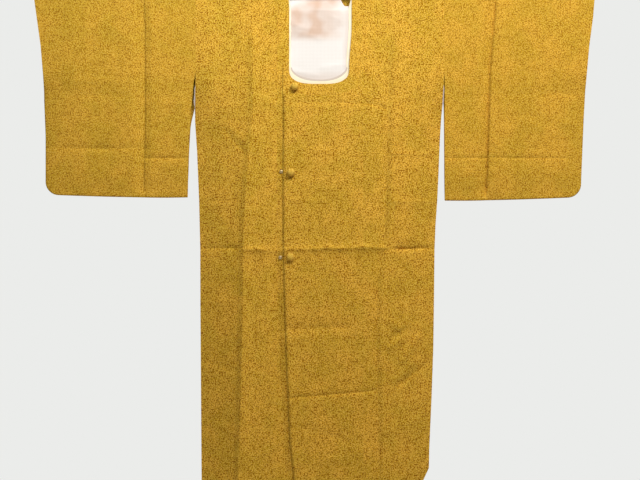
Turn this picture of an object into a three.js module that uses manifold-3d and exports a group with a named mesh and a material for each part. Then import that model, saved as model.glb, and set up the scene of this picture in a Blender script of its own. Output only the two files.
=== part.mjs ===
// A michiyuki, the overcoat worn over a kimono, hung flat on a rod with a wire hook.
// Millimetres. x runs to the wearer's left, y to the back and z up. The origin is the point
// inside the hook that bears on its peg. A drop is a depth below the shoulder fold.
import * as THREE from 'three';
import Module from 'manifold-3d';
import { mergeVertices } from 'three/addons/utils/BufferGeometryUtils.js';

const wasm = await Module();
wasm.setup();

// The cloth and its seams
const wall = 2;
const bandWall = 2.4;
const liningWall = 1;
const seamGap = 0.3;
const lapStep = 2.8;
const bandRise = 0.4;

// The rod and its hook
const rodRadius = 11;
const rodLength = 1420;
const rodBevel = 2;
const rodSides = 24;
const rodAxisZ = -86;
const wireRadius = 2.2;
const wireSides = 10;
const pegRadius = 16;
const boreDepth = 15;

// The coat's length and the ends of its side openings
const coatLength = 1190;
const armholeDrop = 217;
const sideSeamDrop = 324;

// The neck opening: its free edge, and the seam edge one band width outside it
const neckHalfWidth = 76;
const neckStraight = 198.6;
const neckRound = 42;
const neckPower = 3;
const bandWidth = 27;
const lapSeam = neckHalfWidth + bandWidth;

// How far the front stands out, and how thick the sleeves hang
const frontBulge = 16;
const frontCrown = 3;
const bulgeDrop = 350;
const backTuck = 3;
const sleeveHalfDepth = 8;
const sleeveCornerRadius = 30;
const sleeveBottomRadius = 3.15;
const wristOpening = 232;

// The fold over the rod, taken at the middle of the cloth
const foldRadius = rodRadius + seamGap + wall / 2;
const foldLength = (foldRadius * Math.PI) / 2;
const shoulderZ = rodAxisZ + foldRadius;
const seamHalf = (wall + seamGap) / 2;

// Each edge runs down the coat: its distance from the centre at each drop.
const halves = {
  right: {
    sign: -1,
    bodyEdge: [
      { drop: 0, x: 297.6 },
      { drop: 212, x: 297.6 },
      { drop: 324, x: 292.9 },
      { drop: 514, x: 285.7 },
      { drop: 752, x: 284.5 },
      { drop: 990, x: 281 },
      { drop: 1190, x: 278.4 },
    ],
    bodyCrease: [
      { drop: 0, x: 168 },
      { drop: 276, x: 166.7 },
      { drop: 562, x: 181 },
      { drop: 1190, x: 188 },
    ],
    sleeveInner: [
      { drop: 0, x: 297.9 },
      { drop: 217, x: 298.3 },
      { drop: 240, x: 303 },
      { drop: 324, x: 310.7 },
      { drop: 510, x: 314.3 },
    ],
    sleeveCrease: [
      { drop: 0, x: 416.7 },
      { drop: 510, x: 416.7 },
    ],
    sleeveOuter: [
      { drop: 0, x: 682 },
      { drop: 38, x: 676 },
      { drop: 110, x: 664 },
      { drop: 229, x: 654.8 },
      { drop: 276, x: 652.4 },
      { drop: 510, x: 652.4 },
    ],
    sleeveBottom: { inner: 509.5, outer: 500 },
  },
  left: {
    sign: 1,
    bodyEdge: [
      { drop: 0, x: 297.6 },
      { drop: 221, x: 297.6 },
      { drop: 348, x: 285.7 },
      { drop: 586, x: 278.6 },
      { drop: 752, x: 271.4 },
      { drop: 943, x: 264.3 },
      { drop: 1157, x: 257.1 },
      { drop: 1190, x: 246 },
    ],
    bodyCrease: [
      { drop: 0, x: 165.5 },
      { drop: 276, x: 165.5 },
      { drop: 419, x: 161.9 },
      { drop: 538, x: 156 },
      { drop: 752, x: 150 },
      { drop: 1190, x: 145.2 },
    ],
    sleeveInner: [
      { drop: 0, x: 297.9 },
      { drop: 221, x: 298.3 },
      { drop: 240, x: 300.5 },
      { drop: 348, x: 302.4 },
      { drop: 515, x: 300.5 },
    ],
    sleeveCrease: [
      { drop: 0, x: 422 },
      { drop: 110, x: 416.7 },
      { drop: 252, x: 404.8 },
      { drop: 515, x: 397.6 },
    ],
    sleeveOuter: [
      { drop: 0, x: 657 },
      { drop: 38, x: 650 },
      { drop: 181, x: 626.2 },
      { drop: 324, x: 621.4 },
      { drop: 515, x: 621.4 },
    ],
    sleeveBottom: { inner: 514.3, outer: 504.8 },
  },
};

// The free edge of the top lap and of the under lap
const topLapEdge = [
  { drop: 0, x: -88 },
  { drop: 610, x: -88 },
  { drop: 860, x: -81 },
  { drop: 1086, x: -71.4 },
  { drop: 1190, x: -66.3 },
];
const underLapEdge = 80;

// Pressed creases that run across the coat: a ridge stands out, a valley has a height below zero.
// From and to are the x where the crease starts and ends.
const creaseReach = 32;
const creaseFade = 25;
const frontCreases = [
  { drop: 281, from: -150, to: 150, height: 2 },
  { drop: 407, from: 176, to: 280, height: -2 },
  { drop: 514, from: 176, to: 275, height: 2.5 },
  { drop: 514, from: -275, to: -200, height: 1.5 },
  { drop: 629, from: -182, to: 152, height: 4 },
  { drop: 629, from: 180, to: 272, height: -3 },
  { drop: 629, from: -278, to: -212, height: -3 },
  { drop: 824, from: -72, to: 60, height: -2 },
];
const backCreases = [
  { drop: 281, from: -150, to: 150, height: -1.5 },
  { drop: 629, from: -150, to: 150, height: -3 },
  { drop: 629, from: 180, to: 272, height: 2 },
  { drop: 629, from: -272, to: -180, height: 2 },
];
const sleeveCreases = [
  { drop: 390, from: -630, to: -433, height: -2 },
  { drop: 390, from: -410, to: -330, height: -1 },
  { drop: 390, from: 320, to: 600, height: -2 },
];
const bodyCreaseRidge = 1.5;
const sleeveCreaseValley = -2;

// Small fastenings on the front
const buttons = [
  { name: 'button_1', x: -60.5, drop: 244.8, radius: 10, height: 13, rise: bandRise + bandWall / 2 },
  { name: 'button_2', x: -69.3, drop: 449, radius: 10.5, height: 13, rise: wall / 2 },
  { name: 'button_3', x: -70.2, drop: 650.5, radius: 10.5, height: 9, rise: wall / 2 },
];
const shankRadius = 3;
const shankHeight = 1.5;
const studs = [
  { name: 'stud_1', x: -93, drop: 446.9 },
  { name: 'stud_2', x: -94.3, drop: 651 },
];
const studRadius = 4.2;
const studHeight = 1.6;

const clothColour = 0xc59938;
const bandColour = 0xcfa343;
const liningColour = 0xf3ece0;
const facingColour = 0xf7eed9;
const woodColour = 0x9b7550;
const steelColour = 0xb9bcc0;

const radians = THREE.MathUtils.degToRad;
const blend = THREE.MathUtils.lerp;
const clamp = THREE.MathUtils.clamp;
const smooth = (value, from, to) => THREE.MathUtils.smoothstep(value, from, to);

// Reads an edge table at a drop, straight between its rows.
function edgeAt(table, drop) {
  const last = table.length - 1;
  if (drop >= table[last].drop) return table[last].x;
  const next = Math.max(1, table.findIndex((row) => row.drop > drop));
  const above = table[next - 1];
  const below = table[next];
  return blend(above.x, below.x, (drop - above.drop) / (below.drop - above.drop));
}

// The half of the coat that an x belongs to
const halfAt = (x) => (x < 0 ? halves.right : halves.left);

// A crease is a tent across its line, and fades out past its two ends.
function creaseHeight(creases, x, drop) {
  let height = 0;
  for (const crease of creases) {
    const across = Math.max(0, 1 - Math.abs(drop - crease.drop) / creaseReach);
    const past = Math.max(crease.from - x, x - crease.to, 0);
    height += crease.height * across * Math.max(0, 1 - past / creaseFade);
  }
  return height;
}

// A crease that runs down the coat, as a tent about its line
function standingCrease(table, height, x, drop) {
  const away = Math.abs(Math.abs(x) - edgeAt(table, drop));
  return height * Math.max(0, 1 - away / creaseReach) * smooth(drop, foldRadius, 90);
}

// How far the side edges stand from the middle plane: open above, sewn together below
const sideEdgeDepth = (drop) => blend(foldRadius, seamHalf, smooth(drop, armholeDrop, sideSeamDrop));

// The share of the way from the standing crease to the side seam
function sideShare(x, drop) {
  const half = halfAt(x);
  const crease = edgeAt(half.bodyCrease, drop);
  return clamp((Math.abs(x) - crease) / (edgeAt(half.bodyEdge, drop) - crease), 0, 1);
}

// Distance of the front from the middle plane: the middle stands out, the sides turn back.
function bodyFront(x, drop) {
  const half = halfAt(x);
  const inward = Math.min(1, Math.abs(x) / edgeAt(half.bodyCrease, drop));
  const out = smooth(drop, foldRadius, bulgeDrop);
  const middle = foldRadius + out * (frontBulge + frontCrown * (1 - inward * inward));
  const share = sideShare(x, drop);
  const relief = creaseHeight(frontCreases, x, drop) * (1 - share * share);
  const ridge = standingCrease(half.bodyCrease, bodyCreaseRidge, x, drop) * (1 - share);
  return blend(middle, sideEdgeDepth(drop), share) + relief + ridge;
}

// The back hangs almost flat, and its sides turn in to the same seams.
function bodyBack(x, drop) {
  const half = halfAt(x);
  const share = sideShare(x, drop);
  const middle = foldRadius - backTuck * smooth(drop, foldRadius, coatLength);
  const relief = creaseHeight(backCreases, x, drop) * (1 - share * share);
  const ridge = standingCrease(half.bodyCrease, bodyCreaseRidge, x, drop) * (1 - share);
  return blend(middle, sideEdgeDepth(drop), share) + relief + ridge;
}

// The lowest point of a sleeve at an x
function sleeveBottomAt(half, share) {
  return blend(half.sleeveBottom.inner, half.sleeveBottom.outer, share);
}

// Distance of a sleeve's front or back from the middle plane: open at the wrist, then sewn
function sleeveFace(x, drop, bottom) {
  const half = halfAt(x);
  const full = blend(foldRadius, sleeveHalfDepth, smooth(drop, foldRadius, 450));
  const fromEdge = clamp((edgeAt(half.sleeveOuter, drop) - Math.abs(x)) / 90, 0, 1);
  const sewn = smooth(drop, wristOpening - 25, wristOpening + 25);
  const body = blend(full, blend(seamHalf, full, Math.sqrt(fromEdge)), sewn);
  const relief = creaseHeight(sleeveCreases, x, drop) * Math.sqrt(fromEdge);
  const valley = standingCrease(half.sleeveCrease, sleeveCreaseValley, x, drop);
  const low = Math.min(sleeveBottomRadius, body);
  return blend(low, body + relief + valley, smooth(bottom - drop, 0, 70));
}

// The point of the hung cloth at a length from the top of the fold, to the front above zero
// and to the back below it. Offset moves it out of the cloth.
function hang(x, length, offset, front, back) {
  const away = Math.abs(length);
  const towards = length >= 0 ? -1 : 1;
  if (away <= foldLength) {
    const angle = away / foldRadius;
    const radius = foldRadius + offset;
    return new THREE.Vector3(x, towards * radius * Math.sin(angle), rodAxisZ + radius * Math.cos(angle));
  }
  const drop = dropAt(length);
  const face = length >= 0 ? front : back;
  return new THREE.Vector3(x, towards * (face(x, drop) + offset), shoulderZ - drop);
}

// Length along the cloth and drop below the fold, each from the other
function dropAt(length) {
  const away = Math.abs(length);
  if (away <= foldLength) return foldRadius * (1 - Math.cos(away / foldRadius));
  return away - foldLength + foldRadius;
}
const lengthAt = (drop) => drop - foldRadius + foldLength;

// The wearer's left front is lifted over the under lap, from its crease to its seam.
function lapLift(x, length) {
  if (x < -lapSeam || length < 0) return 0;
  const crease = edgeAt(halves.left.bodyCrease, dropAt(length));
  return lapStep * smooth(crease - x, 0, crease - lapSeam) * smooth(dropAt(length), 30, 190);
}

// A closed wall about a grid of rows and columns. place(row, column, offset) gives a point that
// lies offset from the middle of the cloth. A looped grid joins its last row to its first.
function clothWall(rows, columns, thickness, looped, place) {
  const positions = [];
  for (let row = 0; row < rows; row++) {
    for (let column = 0; column < columns; column++) {
      positions.push(...place(row, column, thickness / 2).toArray());
      positions.push(...place(row, column, -thickness / 2).toArray());
    }
  }
  const outer = (row, column) => ((row % rows) * columns + column) * 2;
  const inner = (row, column) => outer(row, column) + 1;
  const triangles = [];
  const quad = (a, b, c, d) => triangles.push(a, b, c, a, c, d);
  const rowSteps = looped ? rows : rows - 1;
  const end = columns - 1;
  for (let row = 0; row < rowSteps; row++) {
    for (let column = 0; column < end; column++) {
      quad(outer(row, column), outer(row, column + 1), outer(row + 1, column + 1), outer(row + 1, column));
      quad(inner(row, column), inner(row + 1, column), inner(row + 1, column + 1), inner(row, column + 1));
    }
    quad(outer(row, 0), outer(row + 1, 0), inner(row + 1, 0), inner(row, 0));
    quad(outer(row + 1, end), outer(row, end), inner(row, end), inner(row + 1, end));
  }
  if (!looped) {
    const foot = rows - 1;
    for (let column = 0; column < end; column++) {
      quad(outer(0, column + 1), outer(0, column), inner(0, column), inner(0, column + 1));
      quad(outer(foot, column), outer(foot, column + 1), inner(foot, column + 1), inner(foot, column));
    }
  }
  const geometry = new THREE.BufferGeometry();
  geometry.setAttribute('position', new THREE.Float32BufferAttribute(positions, 3));
  geometry.setIndex(facingOut(positions, triangles));
  geometry.computeVertexNormals();
  return geometry;
}

// Turns the triangles round where they enclose a volume below zero.
function facingOut(positions, triangles) {
  const corner = (index) => new THREE.Vector3().fromArray(positions, triangles[index] * 3);
  let volume = 0;
  for (let index = 0; index < triangles.length; index += 3) {
    volume += corner(index).dot(corner(index + 1).cross(corner(index + 2)));
  }
  return volume < 0 ? triangles.reverse() : triangles;
}

// Even steps down a panel, with a row on each crease line and at both ends of its tent
function dropRows(from, to, spacing, creases, extra = []) {
  const marks = [from, to, ...extra];
  for (const crease of creases) {
    marks.push(crease.drop - creaseReach, crease.drop, crease.drop + creaseReach);
  }
  const rows = [...new Set(marks)].filter((drop) => drop >= from && drop <= to);
  rows.sort((a, b) => a - b);
  const filled = [rows[0]];
  for (const drop of rows.slice(1)) {
    const start = filled[filled.length - 1];
    const steps = Math.ceil((drop - start) / spacing);
    for (let step = 1; step <= steps; step++) filled.push(blend(start, drop, step / steps));
  }
  return filled;
}

// Angles round half of the back neck, closest where the cloth turns over the rod
const backNeckAngles = [5, 10, 15, 20, 25, 30, 37, 44, 52, 62, 75, 90].map(radians);
const foldSteps = 4;
const frontFoldLengths = [];
for (let step = foldSteps - 1; step >= 0; step--) {
  frontFoldLengths.push((foldLength * step) / foldSteps);
}

// A point of the neck's edge, grown outwards, on the flat cloth. The front is a straight drop
// that ends in a squared round, and the back is half an ellipse.
function neckFrontEdge(grow, angle) {
  const power = 2 / neckPower;
  const across = Math.sign(Math.cos(angle)) * Math.abs(Math.cos(angle)) ** power;
  const down = Math.abs(Math.sin(angle)) ** power;
  return { x: (neckHalfWidth + grow) * across, length: lengthAt(neckStraight + (neckRound + grow) * down) };
}
function neckBackEdge(grow, angle) {
  return { x: (neckHalfWidth + grow) * Math.cos(angle), length: -(foldLength + grow) * Math.sin(angle) };
}

// The drops of the front's rows. The lining's sliver at the side opening shares some of them.
const sliverDrops = [233, 249, 265, 281, 297, 308];
const frontMarks = [armholeDrop, ...sliverDrops, sideSeamDrop, 1157];
const frontDrops = dropRows(foldRadius, coatLength, 90, frontCreases, frontMarks);
const lastStripStart = 0.78;

// One body length: up the front, over the shoulder and down the back, slit above the side seam
function bodyLength(half) {
  const bodySeam = bandWidth + seamGap;
  const rows = [];
  for (const drop of [...frontDrops].reverse()) {
    rows.push({ length: lengthAt(drop), inner: neckHalfWidth + bodySeam });
  }
  for (const length of frontFoldLengths) rows.push({ length, inner: neckHalfWidth + bodySeam });
  for (const angle of backNeckAngles) {
    const edge = neckBackEdge(bodySeam, angle);
    rows.push({ length: edge.length, inner: Math.max(edge.x, seamGap / 2) });
  }
  const backStart = dropAt(rows[rows.length - 1].length);
  const backRows = dropRows(backStart, coatLength, 150, backCreases, [armholeDrop, sideSeamDrop]).slice(1);
  for (const drop of backRows) rows.push({ length: -lengthAt(drop), inner: seamGap / 2 });
  const columns = [0, 0.35, 0.7, 1, 1.25, 1.5, 1 + lastStripStart, 2];
  const place = (row, column, offset) => {
    const { length, inner } = rows[row];
    const drop = dropAt(length);
    const crease = edgeAt(half.bodyCrease, drop);
    const share = columns[column];
    const inside = blend(inner, crease, Math.min(share, 1));
    const x = half.sign * blend(inside, edgeAt(half.bodyEdge, drop), Math.max(share - 1, 0));
    return hang(x, length, offset + lapLift(x, length), bodyFront, bodyBack);
  };
  return clothWall(rows.length, columns.length, wall, false, place);
}

// The angles where the band and the laps meet under the neck, and the corners of the laps
const neckFrontAngles = [];
for (let angle = 0; angle <= 180; angle += 15) neckFrontAngles.push(radians(angle));
const cornerAngle = radians(3);
const topLapAngles = [cornerAngle, ...neckFrontAngles.slice(1, 11)];
const underLapAngles = [Math.PI - cornerAngle, ...neckFrontAngles.slice(3, -1).reverse()];

// A lap panel hangs from the band: its top edge follows the neck's seam and its far edge is free.
function lapPanel(angles, seamX, freeEdgeAt, lift) {
  const tops = angles.map((angle) => neckFrontEdge(bandWidth + seamGap, angle));
  const firstFree = freeEdgeAt(dropAt(tops[tops.length - 1].length));
  const shareOf = (x) => clamp((x - seamX) / (firstFree - seamX), 0, 1);
  const level = 331;
  const lowRows = dropRows(level, coatLength, 90, frontCreases);
  const topShares = [0, 0.5];
  const place = (row, column, offset) => {
    const topDrop = dropAt(tops[column].length);
    const inTop = row < topShares.length;
    const drop = inTop ? blend(topDrop, level, topShares[row]) : lowRows[row - topShares.length];
    const x = blend(seamX, freeEdgeAt(drop), shareOf(tops[column].x));
    return hang(x, lengthAt(drop), offset + lift, bodyFront, bodyBack);
  };
  return clothWall(topShares.length + lowRows.length, tops.length, wall, false, place);
}

// The collar band: one strip from its end under the lap, round the neck, to its end on top
function collarBand() {
  const across = [0, 0.25, 0.5, 0.75, 1];
  const stations = [];
  const station = (edge, position, top) => stations.push({ edge, position, top });
  for (const angle of neckFrontAngles.slice(3)) station(neckFrontEdge, angle, false);
  const sideSteps = [150, 100, 55, 25];
  const side = (sign, top) => {
    const edge = (grow, length) => ({ x: sign * (neckHalfWidth + grow), length });
    const down = [...sideSteps.map(lengthAt), foldLength, ...frontFoldLengths];
    const lengths = sign < 0 ? down : down.reverse();
    for (const length of lengths) station(edge, length, top);
  };
  side(-1, false);
  for (const angle of backNeckAngles) station(neckBackEdge, Math.PI - angle, true);
  for (const angle of backNeckAngles.slice(0, -1).reverse()) station(neckBackEdge, angle, true);
  side(1, true);
  for (const angle of neckFrontAngles.slice(0, -1)) station(neckFrontEdge, angle, true);
  const place = (row, column, offset) => {
    const { edge, position, top } = stations[row];
    const point = edge(bandWidth * across[column], position);
    const drop = dropAt(point.length);
    const underEnd = row < neckFrontAngles.length / 2;
    let { x } = point;
    if (top && point.length > 0) x = Math.max(x, edgeAt(topLapEdge, drop));
    if (underEnd) x = Math.min(x, underLapEdge);
    const lift = top ? lapLift(x, point.length) : 0;
    return hang(x, point.length, offset + bandRise + lift, bodyFront, bodyBack);
  };
  return clothWall(stations.length, across.length, bandWall, false, place);
}

// The facing behind the front neckline: a strip whose upper edge stands above the band
function neckFacing() {
  const upper = { halfWidth: 70, start: 194.6, round: 32, power: 1 };
  const lower = { halfWidth: 92, start: 204, round: 52, power: 2 / 3 };
  const steps = 14;
  const point = (edge, angle) => ({
    x: edge.halfWidth * Math.sign(Math.cos(angle)) * Math.abs(Math.cos(angle)) ** edge.power,
    drop: edge.start + edge.round * Math.sin(angle) ** edge.power,
  });
  const place = (row, column, offset) => {
    const angle = radians(blend(4, 176, row / steps));
    const { x, drop } = point(column === 0 ? upper : lower, angle);
    const behind = (wall + liningWall) / 2 + seamGap;
    return hang(x, lengthAt(drop), offset - behind, bodyFront, bodyBack);
  };
  return clothWall(steps + 1, 2, liningWall, false, place);
}

// The back lining, as far as the neck shows it. Its top edge follows the band's seam.
function backLining() {
  const halfWidth = 140;
  const highest = 18;
  const foot = 420;
  const columns = [-1, -0.72, -0.5, -0.25, 0, 0.25, 0.5, 0.72, 1].map((share) => share * halfWidth);
  const level = 80;
  const rows = dropRows(level, foot, 80, backCreases.slice(0, 1));
  const inside = (wall + liningWall) / 2 + seamGap;
  const topAt = (x) => {
    const angle = Math.acos(Math.min(1, Math.abs(x) / lapSeam));
    return Math.max(highest, dropAt(neckBackEdge(bandWidth + seamGap, angle).length));
  };
  const place = (row, column, offset) => {
    const x = columns[column];
    const drop = row === 0 ? topAt(x) : rows[row - 1];
    return hang(x, -lengthAt(drop), offset - inside, bodyFront, bodyBack);
  };
  return clothWall(rows.length + 1, columns.length, liningWall, false, place);
}

// A sliver of lining that peeps out of a side opening, behind the outermost strip of the front
function sideLining(half) {
  const rows = [...sliverDrops].reverse();
  const low = sliverDrops[sliverDrops.length - 1];
  const high = sliverDrops[0];
  const peep = 3.5;
  const inside = (wall + liningWall) / 2 + seamGap;
  const place = (row, column, offset) => {
    const drop = rows[row];
    const edge = edgeAt(half.bodyEdge, drop);
    const inner = blend(edgeAt(half.bodyCrease, drop), edge, lastStripStart);
    const x = half.sign * [inner, edge, edge][column];
    const out = column === 2 ? 0.2 + peep * Math.sin((Math.PI * (drop - high)) / (low - high)) : 0;
    return new THREE.Vector3(x + half.sign * out, inside - bodyFront(x, drop) - offset, shoulderZ - drop);
  };
  return clothWall(rows.length, 3, liningWall, false, place);
}

// A sleeve is a bag: a loop of cloth over the rod and round the bottom, open at both ends above.
function sleeveBag(half) {
  const level = 430;
  const frontRows = dropRows(foldRadius, level, 75, sleeveCreases.slice(0, 1), [armholeDrop, wristOpening]);
  const backRows = dropRows(foldRadius, level, 120, sleeveCreases.slice(0, 1), [wristOpening]);
  const lowShares = [0.4, 0.75, 1];
  const turnSteps = 4;
  const columns = [0, 0.4, 0.75, 1, 1.13, 1.35, 1.62, 1.8].map((share) => ({ share, lift: 0 }));
  const outerWidth = edgeAt(half.sleeveOuter, level) - edgeAt(half.sleeveCrease, level);
  for (const angle of [0, 30, 60, 90].map(radians)) {
    const short = (sleeveCornerRadius * (1 - Math.sin(angle))) / outerWidth;
    columns.push({ share: 2 - short, lift: sleeveCornerRadius * (1 - Math.cos(angle)) });
  }
  const xAt = (share, drop) => {
    const crease = edgeAt(half.sleeveCrease, drop);
    const inside = blend(edgeAt(half.sleeveInner, drop), crease, Math.min(share, 1));
    return half.sign * blend(inside, edgeAt(half.sleeveOuter, drop), Math.max(share - 1, 0));
  };
  const loop = [];
  for (const drop of frontRows) loop.push({ kind: 'front', drop });
  for (const low of lowShares) loop.push({ kind: 'front', drop: level, low });
  for (let step = 1; step < turnSteps; step++) {
    loop.push({ kind: 'turn', angle: (Math.PI * step) / turnSteps });
  }
  for (const low of [...lowShares].reverse()) loop.push({ kind: 'back', drop: level, low });
  for (const drop of [...backRows].reverse()) loop.push({ kind: 'back', drop });
  for (let step = 1 - foldSteps; step < foldSteps; step++) {
    loop.push({ kind: 'fold', length: (foldLength * step) / foldSteps });
  }
  const place = (row, column, offset) => {
    const { kind, drop, low = 0, angle, length } = loop[row];
    const { share, lift } = columns[column];
    if (kind === 'fold') return hang(xAt(share, 0), length, offset, sleeveFace, sleeveFace);
    const bottom = sleeveBottomAt(half, share / 2) - lift;
    const bottomX = xAt(share, bottom);
    const turnRadius = sleeveFace(bottomX, bottom, bottom);
    if (kind === 'turn') {
      const radius = turnRadius + offset;
      const z = shoulderZ - (bottom - turnRadius) - radius * Math.sin(angle);
      return new THREE.Vector3(bottomX, -radius * Math.cos(angle), z);
    }
    const lowest = bottom - turnRadius;
    const at = blend(drop, lowest, low);
    const face = (x) => (low === 1 ? turnRadius : sleeveFace(x, at, bottom));
    return hang(xAt(share, at), (kind === 'front' ? 1 : -1) * lengthAt(at), offset, face, face);
  };
  return clothWall(loop.length, columns.length, wall, true, place);
}

// The largest distance of a panel's face from the middle plane, under a round thing that lies on it
function seatDepth(x, drop, radius) {
  let depth = bodyFront(x, drop);
  for (let angle = 0; angle < 360; angle += 45) {
    const around = radians(angle);
    depth = Math.max(depth, bodyFront(x + radius * Math.cos(around), drop + radius * Math.sin(around)));
  }
  return depth;
}

// A turned solid whose axis points out of the coat's front, from a profile of radius and height
function turnedFront(profile, x, drop, depth, segments) {
  const points = profile.map(({ radius, height }) => new THREE.Vector2(radius, height));
  const geometry = new THREE.LatheGeometry(points, segments);
  geometry.rotateX(Math.PI);
  geometry.translate(x, -depth, shoulderZ - drop);
  return geometry;
}

// A ball button: a thread shank, then a covered ball that is flatter behind than in front
function ballButton({ x, drop, radius, height, rise }) {
  const profile = [
    { radius: 0, height: 0 },
    { radius: shankRadius, height: 0 },
    { radius: shankRadius, height: shankHeight },
  ];
  for (const angle of [-55, -25, 0, 25, 50, 72].map(radians)) {
    const flat = angle < 0 ? 0.3 : 0.7;
    const level = shankHeight + 0.3 * height * Math.sin(radians(55));
    profile.push({ radius: radius * Math.cos(angle), height: level + flat * height * Math.sin(angle) });
  }
  profile.push({ radius: 0, height: shankHeight + height * (0.7 + 0.3 * Math.sin(radians(55))) });
  const seat = seatDepth(x, drop, shankRadius) + lapStep + rise + seamGap;
  return turnedFront(profile, x, drop, seat, 14);
}

// A press stud's half: a flat disc with a raised socket
function pressStud({ x, drop }) {
  const profile = [
    { radius: 0, height: 0 },
    { radius: studRadius, height: 0 },
    { radius: studRadius, height: 0.35 * studHeight },
    { radius: 0.62 * studRadius, height: 0.5 * studHeight },
    { radius: 0.5 * studRadius, height: studHeight },
    { radius: 0, height: studHeight },
  ];
  return turnedFront(profile, x, drop, seatDepth(x, drop, studRadius) + wall / 2 + seamGap, 12);
}

function solidOf(geometry) {
  const bare = geometry.clone();
  bare.deleteAttribute('normal');
  bare.deleteAttribute('uv');
  const merged = mergeVertices(bare, 1e-4);
  const mesh = { numProp: 3, vertProperties: merged.attributes.position.array, triVerts: merged.index.array };
  return new wasm.Manifold(new wasm.Mesh(mesh));
}

// The rod: bevelled at both ends, with a bore in its top for the hook's shank
function hangingRod() {
  const end = rodLength / 2;
  const outline = [
    [0, -end],
    [rodRadius - rodBevel, -end],
    [rodRadius, rodBevel - end],
    [rodRadius, end - rodBevel],
    [rodRadius - rodBevel, end],
    [0, end],
  ];
  const profile = outline.map(([radius, along]) => new THREE.Vector2(radius, along));
  const bar = new THREE.LatheGeometry(profile, rodSides);
  bar.rotateZ(Math.PI / 2);
  const bore = new THREE.CylinderGeometry(wireRadius + seamGap, wireRadius + seamGap, 2 * boreDepth, 12);
  bore.rotateX(Math.PI / 2);
  bore.translate(0, 0, rodRadius);
  const cut = solidOf(bar).subtract(solidOf(bore)).getMesh();
  const geometry = new THREE.BufferGeometry();
  geometry.setAttribute('position', new THREE.BufferAttribute(cut.vertProperties, 3));
  geometry.setIndex(new THREE.BufferAttribute(cut.triVerts, 1));
  geometry.computeVertexNormals();
  return geometry;
}

// The hook: a wire up from the rod's bore, out to one side and round over the peg
function wireHook() {
  const bend = pegRadius + wireRadius;
  const onBend = (angle) => new THREE.Vector3(bend * Math.cos(angle), 0, bend * Math.sin(angle) - pegRadius);
  const startAngle = radians(-50);
  const endAngle = radians(205);
  const foot = new THREE.Vector3(0, 0, rodAxisZ + rodRadius - boreDepth + seamGap);
  const neck = new THREE.Vector3(0, 0, -pegRadius - 2 * bend);
  const joined = onBend(startAngle);
  const ahead = new THREE.Vector3(-Math.sin(startAngle), 0, Math.cos(startAngle));
  const before = joined.clone().addScaledVector(ahead, -8);
  const over = [];
  for (let step = 0; step <= 16; step++) over.push(onBend(blend(startAngle, endAngle, step / 16)));
  const path = new THREE.CurvePath();
  path.add(new THREE.LineCurve3(foot, neck));
  path.add(new THREE.CubicBezierCurve3(neck, neck.clone().setZ(neck.z + 10), before, joined));
  path.add(new THREE.CatmullRomCurve3(over));
  const section = new THREE.Shape();
  for (let side = 0; side < wireSides; side++) {
    const angle = (2 * Math.PI * side) / wireSides;
    const step = side === 0 ? 'moveTo' : 'lineTo';
    section[step](wireRadius * Math.cos(angle), wireRadius * Math.sin(angle));
  }
  section.closePath();
  return new THREE.ExtrudeGeometry(section, { steps: 44, extrudePath: path, bevelEnabled: false });
}

const coat = new THREE.Group();
const hanger = new THREE.Group();
const hung = new THREE.Group();
hung.add(coat, hanger);

function addPiece(group, name, geometry, color, roughness, metalness = 0) {
  const mesh = new THREE.Mesh(geometry, new THREE.MeshStandardMaterial({ color, roughness, metalness }));
  mesh.name = name;
  group.add(mesh);
  return mesh;
}

for (const [name, half] of Object.entries(halves)) {
  addPiece(coat, `body_${name}`, bodyLength(half), clothColour, 0.85);
  addPiece(coat, `sleeve_${name}`, sleeveBag(half), clothColour, 0.85);
  addPiece(coat, `lining_side_${name}`, sideLining(half), liningColour, 0.6);
}
const topLap = lapPanel(topLapAngles, lapSeam, (drop) => edgeAt(topLapEdge, drop), lapStep);
const underLap = lapPanel(underLapAngles, -lapSeam, () => underLapEdge, 0);
addPiece(coat, 'overlap_left', topLap, clothColour, 0.85);
addPiece(coat, 'overlap_right', underLap, clothColour, 0.85);
addPiece(coat, 'collar_band', collarBand(), bandColour, 0.82);
addPiece(coat, 'neck_facing', neckFacing(), facingColour, 0.55);
addPiece(coat, 'lining_back', backLining(), liningColour, 0.5);
for (const button of buttons) addPiece(coat, button.name, ballButton(button), bandColour, 0.75);
for (const stud of studs) addPiece(coat, stud.name, pressStud(stud), steelColour, 0.35, 0.9);

const rod = addPiece(hanger, 'rod', hangingRod(), woodColour, 0.6);
rod.position.z = rodAxisZ;
addPiece(hanger, 'hook', wireHook(), steelColour, 0.3, 1);

export default hung;
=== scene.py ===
from math import cos, exp, pi, radians, sin, sqrt

import bmesh
import bpy
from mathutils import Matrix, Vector, noise


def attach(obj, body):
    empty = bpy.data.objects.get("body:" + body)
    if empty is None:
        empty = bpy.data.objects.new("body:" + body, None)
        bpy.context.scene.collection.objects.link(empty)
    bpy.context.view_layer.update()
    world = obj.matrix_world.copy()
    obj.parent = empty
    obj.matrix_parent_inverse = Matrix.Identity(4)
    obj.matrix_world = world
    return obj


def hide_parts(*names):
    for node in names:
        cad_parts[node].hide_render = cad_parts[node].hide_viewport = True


# A michiyuki, the overcoat worn over a kimono, hung flat on a rod with a wire hook.
# Sizes are in millimetres until a point is placed. x runs to the wearer's left, y to the back
# and z up. A drop is a depth below the shoulder fold, a length is taken along the cloth.
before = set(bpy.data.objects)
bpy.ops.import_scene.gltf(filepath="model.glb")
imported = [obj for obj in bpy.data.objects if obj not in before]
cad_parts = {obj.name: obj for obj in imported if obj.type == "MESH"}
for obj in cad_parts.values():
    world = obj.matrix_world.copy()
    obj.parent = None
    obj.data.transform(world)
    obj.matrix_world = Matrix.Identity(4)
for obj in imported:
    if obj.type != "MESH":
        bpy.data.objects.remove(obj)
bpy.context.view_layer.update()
mm = 0.001
doublesApart = 0.000002  # points closer together than this, in metres, are one

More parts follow.
